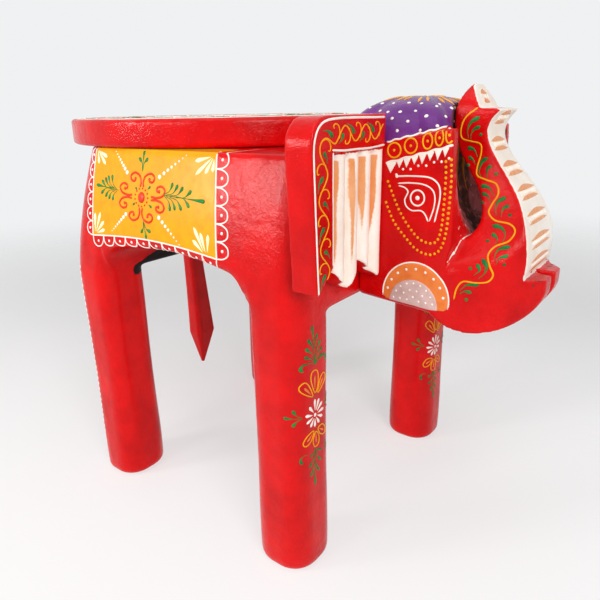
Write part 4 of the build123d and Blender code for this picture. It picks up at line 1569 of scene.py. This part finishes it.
# ---- head -----------------------------------------------------------------
@dataclass
class Head(CarvedPiece):
    """Head block: red cheeks, crown band, purple turban and the raw gouged hollow in the brow.

    Head and trunk are carved as one skin and then parted along their slanted joint, so that the joint
    is as flush as filler and paint leave it.
    """

    node: str = "head_block"
    voxel_mm: float = 1.15
    easing: int = 4
    unevenness_mm: float = 0.35
    seed: int = 6
    hollow_centre: tuple[float, float, float] = (202.1, 0.0, 272.0)
    hollow_radius: float = 62.8
    joint_low: Point = (149.1, 183.0)
    joint_high: Point = (159.6, 228.0)
    joint_reach: float = 238.0
    lean: float = 0.07
    band_x: Point = (115.6, 156.8)
    # Height at the rear end of the band, and its slope.
    band_high: Point = (284.7, 0.26)
    band_low: Point = (272.6, 0.27)
    dome_middle: tuple[float, float, float] = (0.113, 0, 0.268)

    def finish(self) -> GlossEnamel:
        """Red, purple turban and raw wood in the hollow, whose rim is painted pale red as a painted
        highlight.
        """
        return GlossEnamel("red_and_purple_enamel_head", *RED, zones=(
            Zone("turban_mm", *PURPLE, ragged_mm=0.3),
            Zone("hollow_mm", "#6E4630", "#2A1810", ragged_mm=1.2, soft_mm=0.6, roughness=0.75),
            # Painted highlight: the hollow's rim is painted pale red where light falls on it.
            Zone("rim_mm", "#D8585A", "#C04448", ragged_mm=2.2, soft_mm=1.4, roughness=0.35)))

    def build_with(self, trunk: "Trunk") -> tuple[bpy.types.Object, bpy.types.Object]:
        """Carve head and trunk as one skin and part them.

        Args:
            trunk: the trunk, which gets its own finish.

        Returns:
            The head and the trunk.
        """
        apart = self._leaned(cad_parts[trunk.node].data)
        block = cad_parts[self.node].data
        skin = remeshed([block, apart], "face_skin", self.voxel_mm, self.easing)
        bpy.data.meshes.remove(apart)
        self.press_unevenness(skin)
        shape = bmesh.new()
        shape.from_mesh(skin)
        bpy.data.meshes.remove(skin)
        keep_outer_shell(shape)
        low, high = (Vector((x, 0, z)) * MM for x, z in (self.joint_low, self.joint_high))
        along = (high - low).normalized()
        below = [f for f in shape.faces if max(v.co.z for v in f.verts) < self.joint_reach * MM]
        near = {part for f in below for part in (f, *f.edges, *f.verts)}
        cut = bmesh.ops.bisect_plane(shape, geom=list(near), plane_co=low,
                                     plane_no=(along.z, 0, -along.x))["geom_cut"]
        bmesh.ops.split_edges(shape, edges=[e for e in cut if isinstance(e, bmesh.types.BMEdge)])
        tip = max(shape.verts, key=lambda v: v.co.x)
        snout = {tip}
        rim = [tip]
        while rim:
            corner = rim.pop()
            for link in corner.link_edges:
                other = link.other_vert(corner)
                if other not in snout:
                    snout.add(other)
                    rim.append(other)
        shape.verts.index_update()
        front = {v.index for v in snout}
        made = []
        for piece, inside in ((self, False), (trunk, True)):
            part = shape.copy()
            part.verts.index_update()
            spare = [v for v in part.verts if (v.index in front) != inside]
            bmesh.ops.delete(part, geom=spare, context="VERTS")
            keep_outer_shell(part)
            if inside:
                self._lean(part, -self.lean)
            made.append(piece.place(closed_cut(part, f"{piece.node}_carved")))
        shape.free()
        return made[0], made[1]

    def _lean(self, shape: bmesh.types.BMesh, slope: float) -> None:
        """Lean what lies above the joint forward by a slope."""
        for corner in shape.verts:
            corner.co.x += slope * max(0.0, corner.co.z - self.joint_reach * MM)

    def _leaned(self, solid: bpy.types.Mesh) -> bpy.types.Mesh:
        """Copy the trunk leaning forward, so that its tip doesn't fuse with the turban.

        Args:
            solid: the trunk's mesh, which stays as it is.

        Returns:
            The leaning copy.
        """
        shape = bmesh.new()
        shape.from_mesh(solid)
        bmesh.ops.bisect_plane(shape, geom=shape.verts[:] + shape.edges[:] + shape.faces[:],
                               plane_co=(0, 0, self.joint_reach * MM), plane_no=(0, 0, 1))
        self._lean(shape, self.lean)
        mesh = bpy.data.meshes.new("trunk_leaned")
        shape.to_mesh(mesh)
        shape.free()
        return mesh

    def band_top(self, x: np.ndarray | float) -> np.ndarray | float:
        """Height of the crown band's upper edge at a place along the head."""
        return self.band_high[0] + self.band_high[1] * (x - self.band_x[0])

    def band_bottom(self, x: np.ndarray | float) -> np.ndarray | float:
        """Height of the crown band's lower edge."""
        return self.band_low[0] + self.band_low[1] * (x - self.band_x[0])

    def zones(self, spots: np.ndarray, normals: np.ndarray) -> dict[str, np.ndarray]:
        """Find where the turban, the hollow and the painted highlight on the hollow's rim lie.

        Args:
            spots: corners of the mesh in millimetres.
            normals: their outward directions.

        Returns:
            Millimetres into each of the three.
        """
        x, y, z = spots.T
        cx, _, cz = self.hollow_centre
        away = np.sqrt((x - cx) ** 2 + y ** 2 + np.minimum(z - cz, 0) ** 2)
        hollow = self.hollow_radius - away
        # Painted highlight on the hollow's rim, away from its middle and below the brow.
        rim = np.minimum.reduce([hollow, np.abs(y) - 7.0 - 0.5 * np.maximum(z - 240.0, 0), 266.0 - z])
        return {"turban_mm": z - self.band_top(x), "hollow_mm": hollow, "rim_mm": rim}

    def paint(self, carved: bpy.types.Object, trunk: bpy.types.Object) -> None:
        """Paint both cheeks, the turban and the pale dabs in the hollow.

        Args:
            carved: the carved head.
            trunk: the carved trunk, onto which the cheek roundels run.
        """
        head, both = surface_of([carved]), surface_of([carved, trunk])
        for side, label in ((-1, "right"), (1, "left")):
            brush = Brush(side_stencil(head, side))
            self._band(brush)
            self._eye(brush)
            self._necklaces(brush)
            brush.stencil = side_stencil(both, side)
            self._cheek_roundel(brush)
            brush.build(f"face_painting_{label}")
        self._turban_dots(head)
        brush = Brush(front_stencil(head))
        draw = random.Random(11)
        for _ in range(26):
            y = draw.uniform(9.0, 40.0) * draw.choice((-1, 1))
            brush.dot(Paint.PINK, y, draw.uniform(230.0, 258.0), draw.uniform(0.4, 0.8), 0.3)
        brush.build("hollow_dabs")

    def _band(self, brush: Brush) -> None:
        """Draw the white edges, the rings along the band and the teeth below it.

        Args:
            brush: draws them.
        """
        xs = np.linspace(*self.band_x, 56)
        upper = np.stack([xs, self.band_top(xs) + 0.3 * np.sin(xs)], axis=1)
        lower = np.stack([xs, self.band_bottom(xs) + 0.3 * np.sin(xs * 0.7)], axis=1)
        brush.line(Paint.WHITE, upper, 1.3)
        brush.line(Paint.WHITE, lower, 1.7)
        for x, wide in ((120.8, 4.2), (131.2, 3.9), (141.4, 2.9), (148.4, 2.4), (154.2, 2.0)):
            z = float(self.band_top(x) + self.band_bottom(x)) / 2 + 0.2
            brush.ring(Paint.YELLOW, x, z, (wide, 4.2), 1.2)
            brush.dot(Paint.YELLOW, x, z, 0.9)
        for x, half, drop in ((119.0, 3.6, 6.4), (124.6, 2.2, 4.6), (129.2, 2.4, 5.6), (134.0, 2.3, 4.8),
                              (138.8, 2.4, 5.8), (143.6, 2.3, 5.0), (148.2, 2.2, 5.8), (152.6, 2.0, 5.0)):
            low = float(self.band_bottom(x)) - 0.2
            tooth = np.array([(x - half, low), (x - half * 0.45, low - drop * 0.55), (x, low - drop),
                              (x + half * 0.45, low - drop * 0.55), (x + half, low), (x, low + 0.4)])
            brush.fill(Paint.WHITE, tooth, 0.35)
            brush.dot(Paint.WHITE, x + half + 0.2, low - drop - 0.6, 0.85)

    @staticmethod
    def _eye(brush: Brush) -> None:
        """Draw the almond eye in white lines round a ringed pupil.

        Args:
            brush: draws it.
        """
        upper = [(123.2, 265.4), (132.9, 266.0), (143.3, 265.8), (148.6, 263.3), (150.8, 259.5),
                 (151.0, 254.0), (150.1, 248.4), (148.6, 240.5)]
        inner = [(124.0, 261.3), (132.0, 262.0), (140.4, 261.6), (145.8, 259.2), (147.9, 255.0),
                 (147.6, 248.6), (145.2, 240.6)]
        lower = [(124.4, 260.0), (128.4, 259.2), (130.8, 257.0), (129.9, 254.4), (128.9, 251.8),
                 (130.2, 248.2), (134.0, 246.0), (139.4, 246.4), (142.4, 244.4), (144.6, 240.4)]
        pupil = (137.0, 253.6)
        for lid, width in ((upper, 1.15), (inner, 1.0), (lower, 1.0)):
            brush.line(Paint.WHITE, flowing(lid), width, 0.45)
        brush.dot(Paint.WHITE, *upper[0], 1.1)
        brush.ring(Paint.WHITE, *pupil, (4.4, 4.5), 1.2, 0.5)
        brush.dot(Paint.WHITE, *pupil, 1.5, 0.6)

    @staticmethod
    def _necklaces(brush: Brush) -> None:
        """Draw two rows of yellow dots that hang from the brow and loop round the cheek.

        Args:
            brush: draws them.
        """
        rows = (
            [(117.4, 262.0), (120.4, 255.6), (125.2, 246.1), (131.1, 237.6), (138.0, 230.6),
             (143.6, 228.0), (148.9, 228.2), (151.8, 231.6), (153.4, 240.0), (153.8, 252.0),
             (153.8, 266.0), (153.2, 275.0)],
            [(116.6, 249.5), (118.6, 245.0), (122.8, 237.4), (130.4, 229.4), (137.3, 223.3),
             (144.0, 220.9), (149.8, 221.8), (154.0, 226.4), (156.2, 236.0), (156.8, 250.0),
             (156.8, 264.0), (156.0, 276.0)],
        )
        for row in rows:
            brush.dots_along(Paint.YELLOW, row, 2.9, 0.95)

    @staticmethod
    def _cheek_roundel(brush: Brush) -> None:
        """Draw an orange roundel with a pale heart, cut off by the jaw, across the trunk joint.

        Args:
            brush: draws it on head and trunk.
        """
        jaw_line = ((112.0, 148.0, 162.0), (188.6, 186.2, 187.4))
        discs = ((Paint.ORANGE, (138.5, 192.6), 22.0, 0.0), (Paint.PINK, (137.5, 187.2), 16.6, 0.25))
        for paint, centre, radius, lift in discs:
            turns = np.linspace(-0.18, math.pi + 0.12, 40)
            arc = np.stack([centre[0] + radius * np.cos(turns), centre[1] + radius * np.sin(turns)], axis=1)
            jaw = np.stack([np.linspace(arc[-1][0], arc[0][0], 24), np.zeros(24)], axis=1)[1:-1]
            jaw[:, 1] = np.interp(jaw[:, 0], *jaw_line)
            arc[:, 1] = np.maximum(arc[:, 1], np.interp(arc[:, 0], *jaw_line))
            brush.lift = lift
            brush.fill(paint, np.vstack([arc, jaw]), 0.28)
            if paint is Paint.ORANGE:
                brush.line(Paint.WHITE, arc, 1.2, 0.5)
        brush.lift = 0.25
        edge, heart = (138.5, 191.6, 19.0), (137.5, 188.0)
        for k in range(9):
            turn = math.radians(12 + 19.5 * k)
            brush.dot(Paint.WHITE, edge[0] + edge[2] * math.cos(turn), edge[1] + edge[2] * math.sin(turn),
                      1.0, 0.5)
        brush.lift = 0.5
        for ring, count in ((13.4, 9), (9.0, 6), (4.6, 3)):
            for k in range(count):
                turn = math.pi * (k + 0.5) / count
                brush.dot(Paint.WHITE, heart[0] + ring * math.cos(turn), heart[1] + ring * math.sin(turn),
                          0.8, 0.4)
        brush.lift = 0.0

    def _turban_dots(self, surface: BVHTree) -> None:
        """Draw white dots over the turban and a burst of yellow strokes on its crown.

        Args:
            surface: the carved head.
        """
        dome = DomeStencil(surface, Vector(self.dome_middle), Vector(), Vector(), Vector())
        brush = Brush(dome)
        draw = random.Random(7)
        for rise, count in ((27, 31), (34, 29), (42, 26), (50, 21)):
            for k in range(count):
                bearing = 360 * (k + draw.uniform(-0.25, 0.25)) / count + rise * 7
                brush.dot(Paint.WHITE, bearing, rise + draw.uniform(-2.2, 2.2), draw.uniform(0.95, 1.35))
        brush.stencil = top_stencil(surface)
        middle = (117.0, 0.0)
        for k in range(22):
            turn = math.tau * (k + 0.3 * (k % 2)) / 22
            near, far = draw.uniform(15.0, 17.5), draw.uniform(26.0, 31.5)
            along = (math.cos(turn), math.sin(turn) * 0.95)
            brush.drop(Paint.YELLOW, (middle[0] + along[0] * far, middle[1] + along[1] * far),
                       (middle[0] + along[0] * near, middle[1] + along[1] * near), 2.4, stroke=Stroke.LEAF)
        for k in range(10):
            turn = math.tau * k / 10
            brush.drop(Paint.YELLOW, (middle[0] + 12.0 * math.cos(turn), 12.0 * math.sin(turn)),
                       (middle[0] + 3.0 * math.cos(turn), 3.0 * math.sin(turn)), 2.2)
        brush.build("turban_painting")


# ---- trunk ----------------------------------------------------------------
@dataclass
class Trunk(CarvedPiece):
    """Raised trunk: red sides with a vine, ivory front with orange bars, worn red lips."""

    node: str = "trunk"
    voxel_mm: float = 1.1
    easing: int = 3
    unevenness_mm: float = 0.3
    seed: int = 8
    lip_top: float = 207.6

    def finish(self) -> GlossEnamel:
        """Red, with an ivory front and nicks at the lips."""
        return GlossEnamel("red_and_ivory_enamel_trunk", *RED, zones=(
            Zone("front_mm", *IVORY, ragged_mm=0.5, roughness=0.4),
            Zone("nick_mm", "#7E3A2C", "#4A2018", ragged_mm=0.5, soft_mm=0.3, roughness=0.7)))

    def zones(self, spots: np.ndarray, normals: np.ndarray) -> dict[str, np.ndarray]:
        """Find where the ivory front and the nicks lie.

        Args:
            spots: corners of the mesh in millimetres.
            normals: their outward directions.

        Returns:
            Millimetres into the ivory and into the nicks.
        """
        x, y, z = spots.T
        back_limit = 150.0 - 0.1 * (z - 290.0)
        front = np.minimum.reduce([(0.5 - np.abs(normals[:, 1])) * 9, (normals[:, 0] - 0.12) * 12,
                                   z - self.lip_top, x - back_limit])
        rough = np.array([noise.noise(Vector(p) * 0.42) for p in spots])
        nick = np.minimum.reduce([(rough - 0.4) * 6, x - 195.0, z - 200.0, self.lip_top + 3.0 - z,
                                  np.abs(y) - 12.0, 31.0 - np.abs(y)])
        return {"front_mm": front, "nick_mm": nick}

    def paint(self, carved: bpy.types.Object) -> None:
        """Paint the sides and the front.

        Args:
            carved: the carved trunk.
        """
        surface = surface_of([carved])
        for side, label in ((-1, "right"), (1, "left")):
            brush = Brush(side_stencil(surface, side))
            self._vine(brush)
            brush.build(f"trunk_vine_{label}")
        brush = Brush(front_stencil(surface))
        self._bars(brush)
        brush.build("trunk_front_painting")

    @staticmethod
    def _vine(brush: Brush) -> None:
        """Draw a yellow wavy vine with pairs of green commas in its bends.

        Args:
            brush: draws it.
        """
        vine = [(157.0, 303.0), (150.2, 297.6), (147.6, 291.0), (148.6, 285.6), (154.0, 284.0),
                (159.8, 282.4), (160.6, 277.0), (159.4, 269.6), (160.2, 264.6), (166.0, 262.4),
                (172.4, 260.4), (174.6, 255.0), (172.2, 249.0), (171.4, 244.4), (176.0, 240.6),
                (184.6, 239.4), (188.6, 236.0), (186.6, 230.6), (180.4, 227.4), (177.8, 223.0),
                (179.8, 217.4), (182.2, 211.8), (180.0, 207.6), (174.0, 206.8), (167.6, 207.2),
                (164.4, 202.6), (163.3, 195.7)]
        brush.line(Paint.YELLOW, flowing(vine, step=0.8), 1.15, 0.5)
        commas = (
            (((158.6, 297.8), (153.7, 294.9), (151.7, 290.3), (152.4, 285.8)),
             ((159.3, 292.6), (155.4, 290.7), (153.9, 287.8), (153.8, 285.3)), (159.7, 287.9)),
            (((152.0, 280.2), (156.1, 279.3), (158.7, 275.2)),
             ((153.2, 274.9), (156.2, 273.5), (157.9, 270.8)), (153.7, 270.2)),
            (((165.0, 275.1), (161.8, 272.3), (160.9, 266.9), (163.3, 263.4)),
             ((167.8, 270.6), (165.7, 268.5), (166.5, 263.2)), (171.2, 266.0)),
            (((163.4, 258.7), (168.0, 258.4), (172.7, 253.8)),
             ((164.9, 254.7), (168.6, 253.7), (171.4, 250.0)), (166.2, 249.6)),
            (((179.6, 253.5), (175.5, 250.9), (174.9, 247.0), (176.1, 243.3)),
             ((182.2, 249.2), (179.0, 247.1), (179.1, 242.7)), (183.7, 244.2)),
            (((175.1, 237.7), (180.6, 237.0), (183.7, 233.7), (183.6, 229.5)),
             ((176.0, 233.4), (179.4, 231.8), (180.2, 228.4)), (175.0, 229.6)),
            (((188.2, 227.8), (182.9, 226.2), (181.4, 223.1), (181.8, 219.8)),
             ((188.3, 222.9), (184.0, 221.5), (183.1, 218.0)), (186.9, 217.8)),
            (((175.2, 220.6), (178.4, 216.9), (178.0, 212.6), (175.3, 209.4)),
             ((173.3, 217.8), (175.4, 214.3), (172.7, 211.2)), (170.5, 215.1)),
            (((175.8, 205.7), (169.8, 205.2), (166.2, 201.6)),
             ((172.6, 200.8), (168.8, 201.2), (166.4, 199.6)), (170.1, 196.3)),
        )
        for upper, lower, spot in commas:
            brush.line(Paint.GREEN, flowing(upper, step=0.7), 3.0, 0.55, Stroke.COMMA)
            brush.line(Paint.GREEN, flowing(lower, step=0.7), 2.7, 0.55, Stroke.COMMA)
            brush.dot(Paint.GREEN, *spot, 1.1)

    @staticmethod
    def _bars(brush: Brush) -> None:
        """Draw pairs of orange bars across the ivory front, with a row of white dashes between them.

        Args:
            brush: draws them.
        """
        heights_and_half_widths = (
            (309.0, 4.6), (297.0, 8.5), (282.0, 12.0), (268.0, 14.0), (254.5, 16.5), (241.0, 19.0),
            (227.0, 20.0), (214.0, 20.0))
        for z, half in heights_and_half_widths:
            for off in (-2.5, 2.5):
                ends = z + off - 0.5
                bar = flowing([(-half, ends), (0, z + off + 0.4), (half, ends)], step=1.0)
                brush.line(Paint.APRICOT, bar, 4.0, 0.22, Stroke.LEAF)
            dashes = max(3, int(half * 2 / 2.6))
            brush.lift = 0.15
            for k in range(dashes):
                u = -half * 0.86 + 1.72 * half * k / (dashes - 1)
                brush.drop(Paint.WHITE, (u, z + 1.5), (u + 0.2, z - 1.6), 1.0, height=0.5,
                           stroke=Stroke.EVEN)
            brush.lift = 0.0


# ---- tail and dowels ------------------------------------------------------
@dataclass
class Tail(CarvedPiece):
    """Tail cut with a knife, with its facets left showing."""

    node: str = "tail"
    voxel_mm: float = 0.9
    easing: int = 2
    unevenness_mm: float = 0.3
    seed: int = 9


def dress_dowels() -> None:
    """Give the hidden dowels their bare wood."""
    wood = BareWood().material()
    for name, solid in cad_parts.items():
        if "dowel" in name:
            solid.data.materials.clear()
            solid.data.materials.append(wood)


# ---- studio ---------------------------------------------------------------
@dataclass
class Studio:
    """Pale floor, plain soft light and a camera a little above the seat, off the right front."""

    eye_mm: tuple[float, float, float] = (274.9, -347.0, 304.0)
    yaw: float = 37.2
    pitch: float = 19.3
    roll: float = 1.16
    focal: float = 545.0
    picture: int = 600
    fade_mm: Point = (450.0, 1500.0)
    room_light: float = 0.24
    # Painted light on the floor: the share of plain white from behind the stool to in front of it, and the
    # range and direction over which it rises.
    lift: Point = (0.35, 0.68)
    painted_light_from: Point = (-0.45, 0.25)
    painted_light_toward: tuple[float, float, float] = (0.62, -0.78, 0.0)
    # Name, place and size in metres, and watts of each panel.
    panels: tuple[tuple[str, tuple[float, float, float], float, float], ...] = (
        ("panel_above", (0.1, -0.3, 1.4), 1.0, 5.0),
        ("panel_left", (-0.70, -0.99, 0.53), 0.26, 5.8),
        ("panel_front", (-0.17, -1.10, 0.60), 0.24, 2.4),
        ("panel_right", (0.98, -0.66, 0.75), 0.5, 8.6))
    panel_aim: tuple[float, float, float] = (0.0, 0.0, 0.15)

    def camera(self) -> None:
        """Place the camera."""
        lens = bpy.data.cameras.new("camera")
        lens.sensor_width = 36.0
        lens.lens = self.focal / self.picture * lens.sensor_width
        lens.clip_start = 0.01
        lens.clip_end = 20.0
        item = bpy.data.objects.new("camera", lens)
        bpy.context.scene.collection.objects.link(item)
        yaw, pitch, roll = (math.radians(a) for a in (self.yaw, self.pitch, self.roll))
        ahead = Vector((-math.sin(yaw) * math.cos(pitch), math.cos(yaw) * math.cos(pitch),
                        -math.sin(pitch)))
        right = ahead.cross(Vector((0, 0, 1))).normalized()
        above = right.cross(ahead)
        tilted = right * math.cos(roll) - above * math.sin(roll)
        crown = right * math.sin(roll) + above * math.cos(roll)
        turn = Matrix((tilted, crown, -ahead)).transposed().to_4x4()
        item.matrix_world = Matrix.Translation(Vector(self.eye_mm) * MM) @ turn
        bpy.context.scene.camera = item

    def floor(self) -> None:
        """Lay a sheet of pale matt paper that fades into the wall behind the stool.

        Faint clouds in its tone keep it from looking flat, and it keeps the stool's shadow. Where it is
        looked at, it is partly painted plain white, more in front of the stool than behind it: a painted pool
        of light.
        """
        shape = bmesh.new()
        bmesh.ops.create_grid(shape, x_segments=8, y_segments=8, size=6.0)
        mesh = bpy.data.meshes.new("floor")
        shape.to_mesh(mesh)
        shape.free()
        made = bpy.data.materials.new("pale_sheet")
        made.use_nodes = True
        tree = made.node_tree
        shader = tree.nodes["Principled BSDF"]
        shader.inputs["Roughness"].default_value = 0.6
        shader.inputs["Specular IOR Level"].default_value = 0.2
        place = add_node(tree, "ShaderNodeTexCoord").outputs["Object"]
        cloud = add_node(tree, "ShaderNodeTexNoise", {"Scale": 9.0, "Detail": 5.0},
                         {"Vector": place}).outputs["Fac"]
        tone = add_node(tree, "ShaderNodeMix",
                        {"data_type": "RGBA", 6: linear("#F5F3F3"), 7: linear("#EFEDED")}, {0: cloud})
        tree.links.new(tone.outputs[2], shader.inputs["Base Color"])
        away = add_node(tree, "ShaderNodeVectorMath", {"operation": "LENGTH"}, {0: place}).outputs["Value"]
        fade = add_node(tree, "ShaderNodeMapRange",
                        {"interpolation_type": "SMOOTHSTEP", "From Min": self.fade_mm[0] * MM,
                         "From Max": self.fade_mm[1] * MM}, {"Value": away}).outputs["Result"]
        # Painted light: a plain white glow laid over the sheet where it is looked at, stronger in front.
        white = add_node(tree, "ShaderNodeEmission", {"Color": linear("#FFFFFF"), "Strength": 1.0})
        lit = add_node(tree, "ShaderNodeMixShader", None,
                       {0: self._painted_light(tree, place), 1: shader.outputs[0], 2: white.outputs[0]})
        clear = add_node(tree, "ShaderNodeBsdfTransparent")
        both = add_node(tree, "ShaderNodeMixShader", None,
                        {0: fade, 1: lit.outputs[0], 2: clear.outputs[0]})
        tree.links.new(both.outputs[0], tree.nodes["Material Output"].inputs["Surface"])
        mesh.materials.append(made)
        item = bpy.data.objects.new("floor", mesh)
        bpy.context.scene.collection.objects.link(item)

    def _painted_light(self, tree: bpy.types.NodeTree, place: bpy.types.NodeSocket) -> bpy.types.NodeSocket:
        """Find how much of the sheet is painted plain white where it is looked at, most in front: a painted
        pool of light.

        Args:
            tree: the sheet's node tree.
            place: position on the sheet.

        Returns:
            The share, which is nought for rays that light the stool.
        """
        ahead = add_node(tree, "ShaderNodeVectorMath", {"operation": "DOT_PRODUCT", 1: self.painted_light_toward},
                         {0: place}).outputs["Value"]
        share = add_node(tree, "ShaderNodeMapRange",
                         {"interpolation_type": "SMOOTHSTEP",
                          "From Min": self.painted_light_from[0], "From Max": self.painted_light_from[1],
                          "To Min": self.lift[0], "To Max": self.lift[1]},
                         {"Value": ahead}).outputs["Result"]
        return add_node(tree, "ShaderNodeMath", {"operation": "MULTIPLY"},
                        {0: share, 1: self._seen(tree)}).outputs[0]

    @staticmethod
    def _seen(tree: bpy.types.NodeTree) -> bpy.types.NodeSocket:
        """Tell rays that look at a surface from those that light it.

        Args:
            tree: the node tree.

        Returns:
            One for rays that look, nought for the others.
        """
        path = add_node(tree, "ShaderNodeLightPath")
        direct = add_node(tree, "ShaderNodeMath", {"operation": "MAXIMUM"},
                          {0: path.outputs["Is Camera Ray"], 1: path.outputs["Is Transmission Ray"]})
        return add_node(tree, "ShaderNodeMath", {"operation": "MAXIMUM"},
                        {0: direct.outputs[0], 1: path.outputs["Is Glossy Ray"]}).outputs[0]

    def light(self) -> None:
        """Hang a soft panel above the stool, one off its front and two small ones off its right side."""
        for name, place, size, power in self.panels:
            lamp = bpy.data.lights.new(name, "AREA")
            lamp.size = size
            lamp.energy = power
            item = bpy.data.objects.new(name, lamp)
            bpy.context.scene.collection.objects.link(item)
            item.location = place
            item.rotation_mode = "QUATERNION"
            towards = Vector(self.panel_aim) - Vector(place)
            item.rotation_quaternion = towards.to_track_quat("-Z", "Y")

    def room(self) -> None:
        """Light the world evenly and show it as white behind the floor."""
        world = bpy.data.worlds.new("studio")
        bpy.context.scene.world = world
        world.use_nodes = True
        tree = world.node_tree
        tree.nodes.clear()
        plain = add_node(tree, "ShaderNodeBackground",
                         {"Color": linear("#F2F4F6"), "Strength": self.room_light})
        shown = add_node(tree, "ShaderNodeBackground", {"Color": linear("#F0F1F2"), "Strength": 1.0})
        both = add_node(tree, "ShaderNodeMixShader", None,
                        {0: self._seen(tree), 1: plain.outputs[0], 2: shown.outputs[0]})
        add_node(tree, "ShaderNodeOutputWorld", None, {"Surface": both.outputs[0]})

    def build(self) -> None:
        """Set up the studio."""
        self.camera()
        self.floor()
        self.light()
        self.room()
        bpy.context.scene.view_settings.view_transform = "Standard"


def main() -> None:
    """Build the stool piece by piece, then the studio."""
    logging.basicConfig(level=logging.INFO, format="%(name)s %(message)s")
    seat = SeatBoard()
    seat.paint(seat.build())
    carcass = Carcass()
    skin = surface_of(carcass.build_all())
    carcass.paint(skin)
    for name in carcass.legs:
        Leg(node=name).paint(skin)
    for name in ("ear_right", "ear_left"):
        ear = Ear(node=name)
        ear.paint(ear.build())
    head, trunk = Head(), Trunk()
    block, snout = head.build_with(trunk)
    head.paint(block, snout)
    trunk.paint(snout)
    Tail().build()
    dress_dowels()
    Studio().build()


if __name__ == "__main__":
    main()
